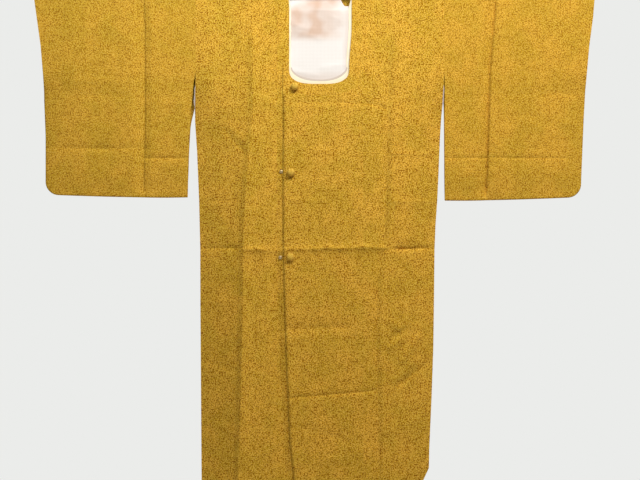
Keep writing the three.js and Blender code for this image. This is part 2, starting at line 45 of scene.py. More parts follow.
cloth = {
    "wall": 1.3,  # crepe and its lining together
    "liningWall": 0.5,
    "bandWall": 1.7,
    "bandRise": 0.35,  # the band's middle stands this much above the panels it is sewn to
    "seamOverlap": 0.6,  # the panels' edges run this far under the band's edge
    "lapStep": 2.8,  # the top lap over the under lap
    "bandStep": 1.85,  # the same beside the neck, where the band is pressed flat
    "liningGap": 1.8,  # the lining's middle behind the crepe's middle
}
rod = {"radius": 11, "length": 1420, "axisZ": -86, "endRound": 2.5, "ringSpacing": 60}
hook = {"wireRadius": 2.2, "pegRadius": 16, "boreDepth": 15, "bendFrom": -50, "bendTo": 205,
        "neckLead": 10, "bendLead": 8, "tip": (0.35, 0.8, 0.97)}
foldRadius = 12.3  # of the cloth's middle, round the rod
foldLength = foldRadius * pi / 2
foldSpacing = 3.2
shoulderZ = rod["axisZ"] + foldRadius
seamHalf = 0.8  # half the depth where front and back are sewn together
seamGaps = {"lap": 0.01, "front": 0.02, "armhole": 0.03, "back": 0.05}  # of edges and their seam

coat = {
    "length": 1190,
    "armhole": 217,
    "armholeAt": 297.6,
    "sideSeam": 324,
    "neckHalfWidth": 76,
    "neckStraight": 198.6,
    "neckRound": 39.5,
    "neckPower": 3,
    "bandWidth": 27,
    "bulge": 16,
    "crown": 3,
    "bulgeDrop": 350,
    "backTuck": 3,
    "underLapEdge": 80,
    "turnedIn": 22,  # crepe folded to the inside along a free edge
    "shoulderTurn": 2.6,  # the same as a half's "sideTurn", but above the first of the next drops
    "turnDrops": (200, 420),
    "frontLineWhole": 190,  # the pressed lines grow from the shoulder to this drop
    "backLineWhole": 90,
}
lapSeam = coat["neckHalfWidth"] + coat["bandWidth"]
topLapEdge = [(0, -88), (610, -88), (860, -81), (1086, -71.4), (1190, -60)]
liftDrops = (30, 190)  # the top lap rises over the under lap between these
bandStepDrops = (270, 330)  # and goes over from "bandStep" to "lapStep" between these
troughDepth = [(0, 0), (250, 0.6), (300, 1.4), (600, 1.8), (700, 5), (860, 5.8), (1190, 4.8)]
troughSection = [(-8, 0), (0, 0.1), (15, 1), (42, 0)]

# The neck's straight edges lean inwards on their way down: a section across x, how far it
# leans, and the drops where that starts and is whole. Further down it fades out.
neckLeans = [
    ([(20, 0), (62, 1), (104, 1), (150, 0)], 6.5, 95, 200),
    ([(-88, 0), (-80, 1), (-60, 1), (-20, 0)], -2.2, foldRadius, 60),
]
leanFade = (420, 260)

sleeve = {
    "halfDepth": 8,
    "halfDepthDrop": 450,
    "corner": 30,
    "bottomRadius": 3.15,
    "bottomSag": 3.4,  # the bottom edge hangs lower in its middle
    "bottomEase": 70,  # the full depth is reached this far above the bottom edge
    "creaseEase": (2, 26),  # the same for the start and the full height of its creases
    "lineWhole": 60,
    "wristSewn": (207, 257),  # the outer edge is open above these drops and sewn below them
    "edgeEase": 90,
    "seamReach": 44,
    "seamLevel": (267, 217),  # the armhole seam lies level with the body above these drops
    "level": 430,  # rows are level down to this drop, and follow the bottom edge below it
}

# Each edge runs down the coat, as drop and distance from the centre.
right = {
    "name": "right",
    "sign": -1,
    "bodyEdge": [(0, 297.6), (208, 297.6), (324, 300), (395, 295.3), (514, 290.3), (633, 287.5),
                 (752, 287.2), (990, 285.6), (1190, 284.2)],
    "bodyCrease": [(0, 161), (110, 160.5), (279, 158.5), (330, 161), (383, 167.5), (488, 175),
                   (562, 180), (645, 182), (855, 184.5), (1064, 189.5), (1190, 194.5)],
    "sleeveInner": [(0, 297.63), (208, 297.63), (240, 303.5), (324, 311.2), (395, 315.2),
                    (467, 317.6), (510, 318.2)],
    "sleeveCrease": [(0, 423), (110, 419.5), (240, 419.5), (330, 419.5), (430, 422), (510, 423)],
    "sleeveOuter": [(0, 689), (38, 683.4), (145, 668.8), (217, 663), (276, 662), (360, 658.7),
                    (510, 658.7)],
    "sleeveBottom": (506.5, 500),  # its drop at the armhole and at the outer edge
    # Sections of the pressed lines: distance from the line and height
    "frontLine": [(-36, 0), (-13, 1.8), (0, 6), (28, 2.4), (66, 0)],
    "backLine": [(-30, 0), (0, 4.4), (11, 0.5), (40, 0)],
    "sleeveLine": [(-28, 0), (-0.5, -5.2), (3, -2.4), (15, 0)],
    "rise": [(0, 1), (640, 1.1), (900, 1.6)],  # how the lines grow on their way down
    "sideTurn": 1.1,  # above 1 the side keeps flat and turns back late
}
left = {
    "name": "left",
    "sign": 1,
    "bodyEdge": [(0, 297.6), (208, 297.6), (300, 292), (360, 288.2), (467, 283.8), (514, 281.5),
                 (574, 277.3), (633, 274.9), (752, 273.7), (871, 272), (990, 267.8),
                 (1109, 262.4), (1157, 261.5), (1190, 246)],
    "bodyCrease": [(0, 174), (69, 173.8), (174, 169), (383, 164.3), (540, 160.5), (630, 157),
                   (700, 141.5), (855, 138.5), (960, 142), (1190, 144)],
    "sleeveInner": [(0, 297.63), (208, 297.63), (240, 298.6), (360, 298.9), (515, 299.8)],
    "sleeveCrease": [(0, 425), (62, 420.5), (110, 416), (157, 411.8), (205, 408.2), (300, 405.3),
                     (365, 404), (450, 401.7), (515, 399)],
    "sleeveOuter": [(0, 662), (38, 656.8), (74, 654), (145, 644.8), (217, 638.6), (324, 632.8),
                    (466, 627), (515, 626)],
    "sleeveBottom": (514.3, 506),
    "frontLine": [(-16, 0), (-4, -0.4), (8, 4.2), (38, 1.8), (80, 0)],
    "backLine": [(-46, 0), (-9, 0.8), (0, 4.6), (30, 0)],
    "sleeveLine": [(-30, 0), (-4, -5.6), (-1.4, -8), (3, 0.4), (16, 2.2), (46, 0)],
    "rise": [(0, 1), (240, 1), (420, 1.2)],
    "sideTurn": 1.7,
}

# Broad pressed folds that run across: drop, from x, to x, height (a valley is below zero)
frontFolds = [
    (281, -150, 150, 2),
    (407, 176, 280, -2),
    (514, 176, 275, 2.5),
    (514, -275, -200, 1.5),
    (629, -182, 152, 4),
    (629, 180, 272, -3),
    (629, -278, -212, -3),
    (824, -72, 60, -2),
]
backFolds = [
    (281, -150, 150, -1.5),
    (629, -150, 150, -3),
    (629, 180, 272, 2),
    (629, -272, -180, 2),
]
sleeveFolds = [
    (390, -630, -433, -2),
    (390, -410, -330, -1),
    (390, 320, 600, -2),
]
fold = {
    "softness": 13,
    "foot": 0.02,  # cuts off the last of its slopes
    "fade": 25,
    "share": 0.5,  # the rest of a fold's height is in its sharp line below
}
wrinkle = {
    "strength": 2.0,
    "reach": 5,  # times its width
    "crest": 0.25,  # how round its top is
    "steep": 1.5,
    "gentle": 0.85,
    "endFade": 0.4,
}

# Sharp lines of the folds, and wrinkles: x, drop, to x, to drop, height, width of either side
frontWrinkles = [
    (-279, 630, -185, 629, -1.7, 5.5), (-178, 631, -140, 632, 1.7, 6.5),
    (-140, 632, -88, 637, 1.2, 6.5), (-86, 632, -10, 630, 1.5, 6.5), (-10, 630, 20, 627, 1.3, 5.5),
    (20, 627, 50, 629, 1.6, 6.5), (50, 629, 104, 625, 1.6, 6), (104, 625, 152, 627, 1.9, 6.5),
    (158, 633, 192, 632, -1.8, 4), (152, 629, 196, 637, 0.7, 3), (192, 632, 273, 629, -3.4, 4.6),
    (-88, 283, 60, 283, -0.9, 4), (60, 283, 120, 287, -1.1, 4), (117, 282, 150, 294, -1.2, 5),
    (-160, 286, -100, 283, 0.5, 5), (-280, 286, -200, 281, -0.4, 6), (-25, 388, 36, 387, -0.6, 5),
    (176, 404, 276, 404, 1.1, 5), (180, 517, 276, 518, 0.9, 6), (-275, 517, -205, 514, -0.9, 5),
    (-70, 514, 0, 516, 0.5, 6), (-72, 824, 50, 816, -2.0, 10), (172, 806, 196, 826, 1.9, 6),
    (180, 838, 206, 822, -1.9, 6), (196, 812, 252, 816, 1.4, 8), (167, 862, 197, 845, 2.6, 6),
    (202, 892, 232, 842, 3.8, 8), (190, 955, 267, 900, -3.4, 5), (178, 940, 225, 900, 2.0, 9),
    (-72, 986, 130, 969, -2.0, 4), (-226, 350, -190, 392, -1.1, 6), (-214, 340, -182, 372, 0.8, 7),
    (-178, 1010, -176, 1150, 0.8, 7), (-150, 1120, -90, 1090, 0.7, 9), (-40, 1060, 60, 1085, -1.3, 12),
    (20, 1130, 120, 1108, 1.3, 10), (165, 1060, 250, 1030, 1.1, 10), (-270, 760, -200, 752, 1.0, 9),
    (-262, 905, -205, 922, -1.0, 9), (-240, 1050, -200, 1066, 0.7, 9), (-101, 98, -84, 98, -0.8, 2.4),
    (-104, 167, -85, 166, -0.9, 2.4), (-103, 190, -84, 191, -1.0, 2.4), (-97, 205, -82, 204, -1.0, 2.2),
    (-98, 214, -84, 216, 0.8, 2.4), (88, 236, 106, 262, 0.8, 5), (-60, 268, -30, 262, 0.6, 5),
]
backWrinkles = [
    (-279, 630, -183, 627, 1.4, 5), (-170, 628, 0, 626, -1.7, 5), (0, 626, 150, 630, -1.4, 5),
    (176, 628, 273, 626, 1.5, 5), (-140, 283, -20, 280, -1.0, 4), (20, 281, 146, 283, -0.8, 4),
    (-120, 405, 30, 409, 0.8, 6), (-275, 514, -190, 516, -0.9, 6), (60, 515, 160, 511, 0.8, 6),
    (-60, 824, 90, 812, -1.1, 11), (170, 860, 232, 838, 1.0, 8), (-240, 900, -170, 940, -1.0, 8),
    (-130, 978, 110, 968, -1.0, 5), (-90, 1095, 10, 1120, 0.8, 10), (120, 1070, 210, 1044, 0.7, 10),
    (-3, 330, -2, 1120, -0.5, 5),
]
sleeveWrinkles = [
    (-622, 389, -520, 391, -1.4, 10), (-520, 391, -436, 389, -1.2, 10),
    (-412, 414, -330, 414, -1.9, 5.5), (304, 414, 402, 413, -1.2, 3.2), (408, 412, 470, 414, -0.9, 3),
    (470, 413, 596, 414, -1.2, 3), (416, 376, 452, 402, 0.9, 6), (-610, 226, -480, 229, 0.9, 6),
    (-600, 264, -470, 262, -0.9, 7), (590, 262, 640, 258, -1.2, 4), (575, 330, 632, 333, 1.2, 5),
    (-395, 284, -330, 280, 0.6, 7), (330, 236, 400, 240, 0.6, 7), (440, 262, 590, 258, -0.6, 7),
    (-560, 470, -500, 452, 0.7, 8), (500, 330, 560, 352, 0.6, 9), (-500, 96, -450, 140, 0.6, 10),
    (460, 110, 520, 84, 0.6, 10),
]
liningWrinkles = [
    (-66, 88, -48, 97, 0.5, 8), (-56, 98, -22, 104, 0.5, 8), (-48, 112, -4, 126, 0.45, 7),
    (-70, 130, -20, 126, -0.3, 9), (-6, 50, 22, 58, 0.7, 8), (24, 72, 48, 82, 0.4, 7),
    (30, 110, 52, 98, -0.4, 7), (-60, 48, -20, 62, -0.5, 12), (10, 196, 60, 190, 0.4, 7),
    (-68, 204, -10, 216, 0.4, 6),
]

# The slow unevenness of cloth that hangs, long down the coat and short across it
waves = {"wide": (90, 260), "small": (38, 60), "smallShare": 0.45, "smallSeed": 7, "whole": 60}

# A face's folds and wrinkles, and the seed and height of its waves
reliefs = {
    "front": (frontFolds, frontWrinkles, 3, 2.3),
    "back": (backFolds, backWrinkles, 11, 2.2),
    "sleeve": (sleeveFolds, sleeveWrinkles, 23, 1.8),
}


def smooth(value, low, high):
    t = min(1, max(0, (value - low) / (high - low)))
    return t * t * (3 - 2 * t)


def blend(a, b, share):
    return a + (b - a) * share


def clamp(value, low, high):
    return min(high, max(low, value))


def valueAt(table, at):
    # A table's value at a place, straight between its rows and level past its ends
    if at >= table[-1][0]:
        return table[-1][1]
    for (place1, value1), (place2, value2) in zip(table, table[1:]):
        if at < place2:
            return blend(value1, value2, max(0, (at - place1) / (place2 - place1)))
    return table[-1][1]


def profileAt(profile, away):
    # The height of a section at a distance from its line, with nothing past its ends
    if away <= profile[0][0] or away >= profile[-1][0]:
        return 0
    return valueAt(profile, away)


def halfAt(x):
    return right if x < 0 else left


def foldHeight(folds, x, drop):
    height = 0
    for foldDrop, fromX, toX, rise in folds:
        across = exp(-abs(drop - foldDrop) / fold["softness"]) - fold["foot"]
        past = max(fromX - x, x - toX, 0)
        height += rise * fold["share"] * max(0, across) * max(0, 1 - past / fold["fade"])
    return height


def wrinkleHeight(wrinkles, x, drop):
    # Each line is sharpest at its middle, falls off to either side and dies out past its ends.
    # Cloth that hangs is steeper on the side of a line that looks up.
    height = 0
    crest = wrinkle["crest"]
    for x1, drop1, x2, drop2, rise, width in wrinkles:
        reach = wrinkle["reach"] * width
        if drop < min(drop1, drop2) - reach or drop > max(drop1, drop2) + reach:
            continue
        if x < min(x1, x2) - reach or x > max(x1, x2) + reach:
            continue
        run, fall = x2 - x1, drop2 - drop1
        span = sqrt(run * run + fall * fall)
        along = ((x - x1) * run + (drop - drop1) * fall) / span
        across = ((x - x1) * fall - (drop - drop1) * run) / span / width
        across *= wrinkle["steep"] if across * rise > 0 else wrinkle["gentle"]
        past = max(-along, along - span, 0) / width
        sharp = crest - sqrt(across * across + crest * crest)
        height += rise * exp(sharp - wrinkle["endFade"] * past * past)
    return height * wrinkle["strength"]


def waveHeight(x, drop, seed, amount):
    (wideX, wideDrop), (smallX, smallDrop) = waves["wide"], waves["small"]
    wide = noise.noise(Vector((x / wideX, drop / wideDrop, seed)))
    small = noise.noise(Vector((x / smallX, drop / smallDrop, seed + waves["smallSeed"])))
    return amount * (wide + waves["smallShare"] * small) * smooth(drop, foldRadius, waves["whole"])


def reliefAt(face, x, drop):
    folds, wrinkles, seed, amount = reliefs[face]
    creased = foldHeight(folds, x, drop) + wrinkleHeight(wrinkles, x, drop)
    return creased + waveHeight(x, drop, seed, amount)


def standingFold(half, table, profile, x, drop, whole):
    # A pressed line down the coat, with the section of that line across it, whole from a drop on
    away = x - half["sign"] * valueAt(half[table], drop)
    grown = smooth(drop, foldRadius, whole) * valueAt(half["rise"], drop)
    return profileAt(half[profile], away) * grown


def lapTrough(x, drop):
    # The cloth dips beside the top lap's edge, more so towards the hem.
    if drop < coat["neckStraight"]:
        return 0
    return -valueAt(troughDepth, drop) * profileAt(troughSection, valueAt(topLapEdge, drop) - x)


def sideEdgeDepth(drop):
    return blend(foldRadius, seamHalf, smooth(drop, coat["armhole"], coat["sideSeam"]))


def sideShare(x, drop):
    half = halfAt(x)
    crease = valueAt(half["bodyCrease"], drop)
    return clamp((abs(x) - crease) / (valueAt(half["bodyEdge"], drop) - crease), 0, 1)


def bodyFront(x, drop):
    half = halfAt(x)
    inward = min(1, abs(x) / valueAt(half["bodyCrease"], drop))
    out = smooth(drop, foldRadius, coat["bulgeDrop"])
    middle = foldRadius + out * (coat["bulge"] + coat["crown"] * (1 - inward * inward))
    share = sideShare(x, drop)
    relief = (reliefAt("front", x, drop) + lapTrough(x, drop)) * (1 - share ** 4)
    ridge = standingFold(half, "bodyCrease", "frontLine", x, drop, coat["frontLineWhole"])
    turn = blend(coat["shoulderTurn"], half["sideTurn"], smooth(drop, *coat["turnDrops"]))
    return blend(middle, sideEdgeDepth(drop), share ** turn) + relief + ridge * (1 - share)


def bodyBack(x, drop):
    share = sideShare(x, drop)
    middle = foldRadius - coat["backTuck"] * smooth(drop, foldRadius, coat["length"])
    relief = reliefAt("back", x, drop) * (1 - share ** 4)
    ridge = standingFold(halfAt(x), "bodyCrease", "backLine", x, drop, coat["backLineWhole"])
    return blend(middle, sideEdgeDepth(drop), share) + relief + ridge * (1 - share)


def sleeveFace(x, drop, bottom, towards=1):
    half = halfAt(x)
    full = blend(foldRadius, sleeve["halfDepth"], smooth(drop, foldRadius, sleeve["halfDepthDrop"]))
    fromEdge = clamp((valueAt(half["sleeveOuter"], drop) - abs(x)) / sleeve["edgeEase"], 0, 1)
    body = blend(full, blend(seamHalf, full, sqrt(fromEdge)), smooth(drop, *sleeve["wristSewn"]))
    valley = standingFold(half, "sleeveCrease", "sleeveLine", x, drop, sleeve["lineWhole"])
    # The two layers are pressed together, so the back follows the front's line.
    pressed = (reliefAt("sleeve", x, drop) + valley * towards) * sqrt(fromEdge)
    low = min(sleeve["bottomRadius"], body)
    depth = blend(low, body, smooth(bottom - drop, 0, sleeve["bottomEase"]))
    depth += pressed * smooth(bottom - drop, *sleeve["creaseEase"])
    seamed = smooth(abs(x) - coat["armholeAt"], sleeve["seamReach"], 0)
    return blend(depth, sideEdgeDepth(drop), seamed * smooth(drop, *sleeve["seamLevel"]))


def dropAt(length):
    away = abs(length)
    if away <= foldLength:
        return foldRadius * (1 - cos(away / foldRadius))
    return away - foldLength + foldRadius


def lengthAt(drop):
    return drop - foldRadius + foldLength


def neckLean(x, drop):
    lean = sum(amount * profileAt(section, x) * smooth(drop, starts, whole)
               for section, amount, starts, whole in neckLeans)
    return lean * smooth(drop, *leanFade)


def hangPoint(x, length, offset, front, back):
    # A point of the hung cloth, to the front at lengths above zero and to the back below it
    towards = -1 if length >= 0 else 1
    if abs(length) <= foldLength:
        angle = abs(length) / foldRadius
        radius = foldRadius + offset
        return Vector((x, towards * radius * sin(angle), rod["axisZ"] + radius * cos(angle)))
    drop = dropAt(length)
    face = front if length >= 0 else back
    lean = neckLean(x, drop) if length >= 0 else 0
    return Vector((x - lean, towards * (face(x, drop) + offset), shoulderZ - drop))


def onBody(x, length, offset):
    return hangPoint(x, length, offset, bodyFront, bodyBack)


def lapLift(x, length):
    # The wearer's left front is lifted over the under lap, from its pressed line to its seam.
    if x < -lapSeam or length < 0:
        return 0
    drop = dropAt(length)
    crease = valueAt(left["bodyCrease"], drop)
    step = blend(cloth["bandStep"], cloth["lapStep"], smooth(drop, *bandStepDrops))
    return step * smooth(crease - x, 0, crease - lapSeam) * smooth(drop, *liftDrops)


def steps(start, end, spacing):
    # Even steps from start to end, with both ends
    count = max(1, round(abs(end - start) / spacing))
    return [blend(start, end, step / count) for step in range(count + 1)]


def runs(start, *parts):
    # Steps from start to the end of each part, with that part's spacing
    values = [start]
    for end, spacing in parts:
        values += steps(start, end, spacing)[1:]
        start = end
    return values


def lengthsAlong(points):
    # How far along their path the points are
    travelled = [0]
    for before, here in zip(points, points[1:]):
        travelled.append(travelled[-1] + (here - before).length)
    return travelled


def rowsNearFolds(start, end, spacing, sharpDrops, reach=16, ahead=4, close=0.45):
    # Steps down the cloth that are closer together near the pressed lines
    rows = [start]
    towards = 1 if end > start else -1
    while (end - rows[-1]) * towards > 0:
        near = min(abs(rows[-1] + towards * ahead - drop) for drop in sharpDrops) < reach
        rows.append(rows[-1] + towards * spacing * (close if near else 1))
    rows[-1] = end
    return rows


def clothGrid(rows, columns, place, turnedIn=None, patternShift=(0, 0), folded=None):
    # A sheet of cloth: a grid whose points are put where place(row, column) says. Its UV map is
    # the flat cloth in metres, so that print and weave follow the cloth.
    mesh = bmesh.new()
    bmesh.ops.create_grid(mesh, x_segments=len(columns) - 1, y_segments=len(rows) - 1, size=1)
    uvLayer = mesh.loops.layers.uv.new("flatCloth")
    spots = {}
    for vertex in mesh.verts:
        column = round((vertex.co.x + 1) / 2 * (len(columns) - 1))
        row = round((vertex.co.y + 1) / 2 * (len(rows) - 1))
        spots[vertex] = place(rows[row], columns[column])
    for face in mesh.faces:
        face.smooth = True
        middleX = sum(spots[vertex][1] for vertex in face.verts) / 4
        middleY = sum(spots[vertex][2] for vertex in face.verts) / 4
        face.material_index = 2 if turnedIn and turnedIn(middleX, middleY) else 0
        for loop in face.loops:
            point, flatX, flatY = spots[loop.vert]
            loop[uvLayer].uv = (flatX * mm + patternShift[0], flatY * mm + patternShift[1])
    for edge in mesh.edges:
        # A seam isn't shaded as if it were rounded, a folded edge is.
        edge.smooth = not edge.is_boundary or bool(folded and folded(*spots[edge.verts[0]][1:]))
    for vertex, (point, flatX, flatY) in spots.items():
        vertex.co = point * mm
    return mesh


def newObject(name, data):
    made = bpy.data.objects.new(name, data)
    bpy.context.scene.collection.objects.link(made)
    return made


def meshObject(name, mesh, materials):
    data = bpy.data.meshes.new(name)
    mesh.to_mesh(data)
    mesh.free()
    for material in materials:
        data.materials.append(material)
    return newObject(name, data)


def takePlace(piece, replaced):
    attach(piece, "root")
    if replaced:
        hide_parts(replaced)


def addSolid(name, mesh, material, replaced=None):
    bmesh.ops.remove_doubles(mesh, verts=mesh.verts, dist=doublesApart)
    bmesh.ops.recalc_face_normals(mesh, faces=mesh.faces)
    takePlace(meshObject(name, mesh, [material]), replaced)


def addCloth(name, mesh, materials, replaced, wall, forward=1):
    # A sheet with its first face to the front, or to the back when forward is -1. The materials
    # are those of its outside and inside, and of both again where it is turned in.
    mesh.normal_update()
    foremost = min(mesh.faces, key=lambda face: face.calc_center_median().y)
    if foremost.normal.y * forward > 0:
        bmesh.ops.reverse_faces(mesh, faces=mesh.faces)
    bmesh.ops.remove_doubles(mesh, verts=mesh.verts, dist=doublesApart)
    piece = meshObject(name, mesh, materials)
    shell = piece.modifiers.new("wall", "SOLIDIFY")
    shell.thickness = wall * mm
    shell.offset = 0
    shell.use_even_offset = True
    shell.material_offset = 1 if len(materials) > 1 else 0
    shell.material_offset_rim = 0
    takePlace(piece, replaced)
    return piece


print("materials")


def colour(hexCode):
    # An sRGB hex code as the linear colour that the shader takes
    parts = [int(hexCode[place:place + 2], 16) / 255 for place in (0, 2, 4)]
    return tuple(p / 12.92 if p <= 0.04045 else ((p + 0.055) / 1.055) ** 2.4 for p in parts) + (1,)


def perMetre(sizeInMm):
    # The scale of a pattern on metre coordinates whose marks are this size
    return 1000 / sizeInMm


def setInput(tree, socket, value):
    # A socket takes a number, a hex code, or another node's output.
    if isinstance(value, bpy.types.NodeSocket):
        tree.links.new(value, socket)
    else:
        socket.default_value = colour(value) if isinstance(value, str) else value


def addNode(tree, kind, settings=None, inputs=None):
    node = tree.nodes.new("ShaderNode" + kind)
    for name, value in (settings or {}).items():
        setattr(node, name, value)
    for key, value in (inputs or {}).items():
        setInput(tree, node.inputs[key], value)
    return node


def addRamp(tree, factor, stops):
    ramp = addNode(tree, "ValToRGB", inputs={"Fac": factor})
    elements = ramp.color_ramp.elements
    while len(elements) < len(stops):
        elements.new(0.5)
    for element, (position, shade) in zip(elements, stops):
        element.position = position
        element.color = colour(shade) if isinstance(shade, str) else shade
    return ramp.outputs["Color"]


def mixColours(tree, kind, share, first, second):
    mixed = addNode(tree, "Mix", {"data_type": "RGBA", "blend_type": kind},
                    {0: share, 6: first, 7: second})
    return mixed.outputs[2]


def maths(tree, kind, *values):
    return addNode(tree, "Math", {"operation": kind}, dict(enumerate(values))).outputs[0]


def mapRange(tree, value, low, high, start, end, kind="LINEAR"):
    return addNode(tree, "MapRange", {"interpolation_type": kind}, {
        "Value": value, "From Min": low, "From Max": high, "To Min": start,
        "To Max": end}).outputs[0]


def moved(tree, place, **mapping):
    return addNode(tree, "Mapping", inputs={"Vector": place, **mapping}).outputs[0]


def noiseOf(tree, place, size, detail=0.0, distortion=0.0, dimensions="2D"):
    return addNode(tree, "TexNoise", {"noise_dimensions": dimensions}, {
        "Vector": place, "Scale": perMetre(size), "Detail": detail,
        "Distortion": distortion}).outputs["Fac"]


def bandsOf(tree, place, size, direction, distortion=0.0):
    # Soft bands that repeat after 2 pi times the size, and after twice that on the diagonal
    return addNode(tree, "TexWave", {"bands_direction": direction}, {
        "Vector": place, "Scale": perMetre(size) / 20, "Detail": 2.0,
        "Distortion": distortion}).outputs["Fac"]


def flatPlace(tree):
    return addNode(tree, "UVMap", {"uv_map": "flatCloth"}).outputs[0]


def solidPlace(tree):
    return addNode(tree, "TexCoord").outputs["Object"]


def newMaterial(name, **shaderInputs):
    material = bpy.data.materials.new(name)
    material.use_nodes = True
    tree = material.node_tree
    tree.nodes.clear()
    shader = addNode(tree, "BsdfPrincipled", inputs=shaderInputs)
    addNode(tree, "OutputMaterial", inputs={"Surface": shader.outputs[0]})
    return material, tree, shader


def finishLook(tree, shader, shade, height=None, strength=0.0, depth=0.0):
    # Gives the shader its colour, and a bump of a depth in metres
    setInput(tree, shader.inputs["Base Color"], shade)
    if height is not None:
        bump = addNode(tree, "Bump", inputs={
            "Height": height, "Strength": strength, "Distance": depth})
        setInput(tree, shader.inputs["Normal"], bump.outputs[0])


print("crepe")
crepe = {
    "fleck": "7e4600",
    "darkGround": "ae7c18",
    "ground": "c8982c",
    "brightGround": "e4b954",
    "warmPatch": "dca236",
    "greenPatch": "b08f1c",
    "gleam": "ffd27a",
    "grainSize": 2.3,
    "fleckSize": 3.3,
    "fleckRange": (0.45, 0.56),  # the noise is all fleck below the first and none above the second
    "fleckStrength": 0.9,
    "clumpSize": 15,
    "clumpPull": 0.22,  # how much closer the flecks stand in the darker clumps
    "clumpShades": [(0.3, (0.95, 0.94, 0.91, 1)), (0.65, (1.02, 1.02, 1.02, 1))],
    "patchSize": 70,
    "patchShare": 0.3,
    "crinkleSize": 2.4,  # real crepe crinkles are 0.5 mm, drawn coarser so that they show
    "roughness": 0.85,
    "sheen": 0.015,
    "gloss": 0.03,
}


def crepeMaterial(name, contrast=1.0, plain=crepe["ground"]):
    # Silk crepe printed with a fine dark fleck: matt and grainy, mustard with greener and redder
    # patches
    material, tree, shader = newMaterial(name, **{
        "Roughness": crepe["roughness"],
        "Sheen Weight": crepe["sheen"],
        "Sheen Roughness": 0.5,
        "Sheen Tint": crepe["gleam"],
        "Specular IOR Level": crepe["gloss"],
        "Specular Tint": crepe["gleam"],
    })
    flat = flatPlace(tree)

    def speckle(size, x, y, detail, distortion=0.0):
        return noiseOf(tree, moved(tree, flat, Location=(x, y, 0)), size, detail, distortion)

    shade = addRamp(tree, speckle(crepe["grainSize"], 0, 0, 0.0, 0.2), [
        (0.36, crepe["darkGround"]), (0.5, crepe["ground"]), (0.62, crepe["brightGround"])])
    patches = addRamp(tree, speckle(crepe["patchSize"], 3.1, 1.7, 3.0), [
        (0.35, crepe["warmPatch"]), (0.65, crepe["greenPatch"])])
    shade = mixColours(tree, "MIX", crepe["patchShare"], shade, patches)
    clumps = speckle(crepe["clumpSize"], 7.3, 2.9, 2.0)
    shade = mixColours(tree, "MULTIPLY", 1.0, shade, addRamp(tree, clumps, crepe["clumpShades"]))
    flecks = speckle(crepe["fleckSize"], 1.3, 5.2, 1.0, 0.3)
    crowded = maths(tree, "MULTIPLY_ADD", clumps, crepe["clumpPull"], flecks)
    share = mapRange(tree, crowded, *crepe["fleckRange"], crepe["fleckStrength"] * contrast, 0.0)
    shade = mixColours(tree, "MIX", share, shade, crepe["fleck"])
    # A plain colour dulls the print. The sleeves' darker one is painted shade, the buttons' paler one
    # painted light.
    if contrast < 1:
        shade = mixColours(tree, "MIX", 1 - contrast, shade, plain)
    crinkle = noiseOf(tree, flat, crepe["crinkleSize"], 2.0)
    finishLook(tree, shader, shade, crinkle, 0.3, 0.0005)
    return material


crepeCloth = crepeMaterial("printedCrepe")
# The sleeves' crepe is dulled towards a darker brown: painted shade that makes the sleeves darker than
# the body
crepeSleevePaintedShade = crepeMaterial("printedCrepeSleevePaintedShade", 0.86, "a87e20")
crepeBand = crepeMaterial("printedCrepeBand", 0.95)
# The buttons' crepe is paler, with fainter flecks: painted light for the highlights on their domes
crepeButtonPaintedLight = crepeMaterial("printedCrepeButtonPaintedLight", 0.65, crepe["brightGround"])

print("lining and facing")
silk = {
    "lining": "ddd3cb",
    # the lining's painted shade, pinkish where the light doesn't reach
    "liningPaintedShade": "c6a58f",
    "facing": "f0e4cc",
    "facingShade": "e8d6b4",
    "seam": "bca898",  # painted shade along the facing's stitched upper edge, where the light doesn't reach
    "cloudSize": 45,
    "threadSize": 1.4,  # a thicker thread shows every 9 mm or so, both ways
    "roughness": 0.42,
    "sheen": 0.2,
    "gloss": 0.35,
}
# Painted shade on the lining, in metres of flat cloth: from, to, and the shares there. It is a
# slanting patch below the back of the neck, and the rim beside the facing.
liningPaintedShading = {
    "slant": 0.5,
    "patchTop": (0.012, 0.042, 0.0, 1.0),
    "patchFoot": (0.12, 0.148, 1.0, 0.03),
    "patchSide": (0.02, 0.06, 1.0, 0.25),
    "rimFoot": (0.206, 0.228, 0.0, 0.3),
    "rimSide": (0.05, 0.066, 0.0, 0.35),
}


def silkMaterial(name, pale, shaded, paintedShading=None):
    # Habutae silk, plain woven: smooth, pale, with a soft shine and faint threads both ways
    material, tree, shader = newMaterial(name, **{
        "Roughness": silk["roughness"],
        "Sheen Weight": silk["sheen"],
        "Specular IOR Level": silk["gloss"],
    })
    flat = flatPlace(tree)
    amount = mapRange(tree, noiseOf(tree, flat, silk["cloudSize"], 1.0), 0.35, 0.6, 0.6, 1.0)
    # Painted shade on the lining: a pinkish patch below the back of the neck, and a rim beside the
    # facing
    if paintedShading:
        place = addNode(tree, "SeparateXYZ", inputs={0: flat})
        across, along = place.outputs["X"], place.outputs["Y"]
        slanted = maths(tree, "MULTIPLY_ADD", across, paintedShading["slant"], along)

        def ease(value, part):
            return mapRange(tree, value, *paintedShading[part], "SMOOTHSTEP")

        for value, part in ((slanted, "patchTop"), (along, "patchFoot"), (across, "patchSide")):
            amount = maths(tree, "MULTIPLY", amount, ease(value, part))
        rim = maths(tree, "MAXIMUM", ease(along, "rimFoot"), ease(across, "rimSide"))
        amount = maths(tree, "MAXIMUM", amount, rim)
    shade = mixColours(tree, "MIX", amount, pale, shaded)
    threads = [bandsOf(tree, moved(tree, flat, Rotation=(0, 0, turn)), silk["threadSize"], "X", 1.2)
               for turn in (0, pi / 2)]
    finishLook(tree, shader, shade, maths(tree, "ADD", *threads), 0.15, 0.0003)
    return material


liningSilk = silkMaterial("habutaeLining", silk["lining"], silk["liningPaintedShade"], liningPaintedShading)
facingSilk = silkMaterial("habutaeFacing", silk["facing"], silk["facingShade"])
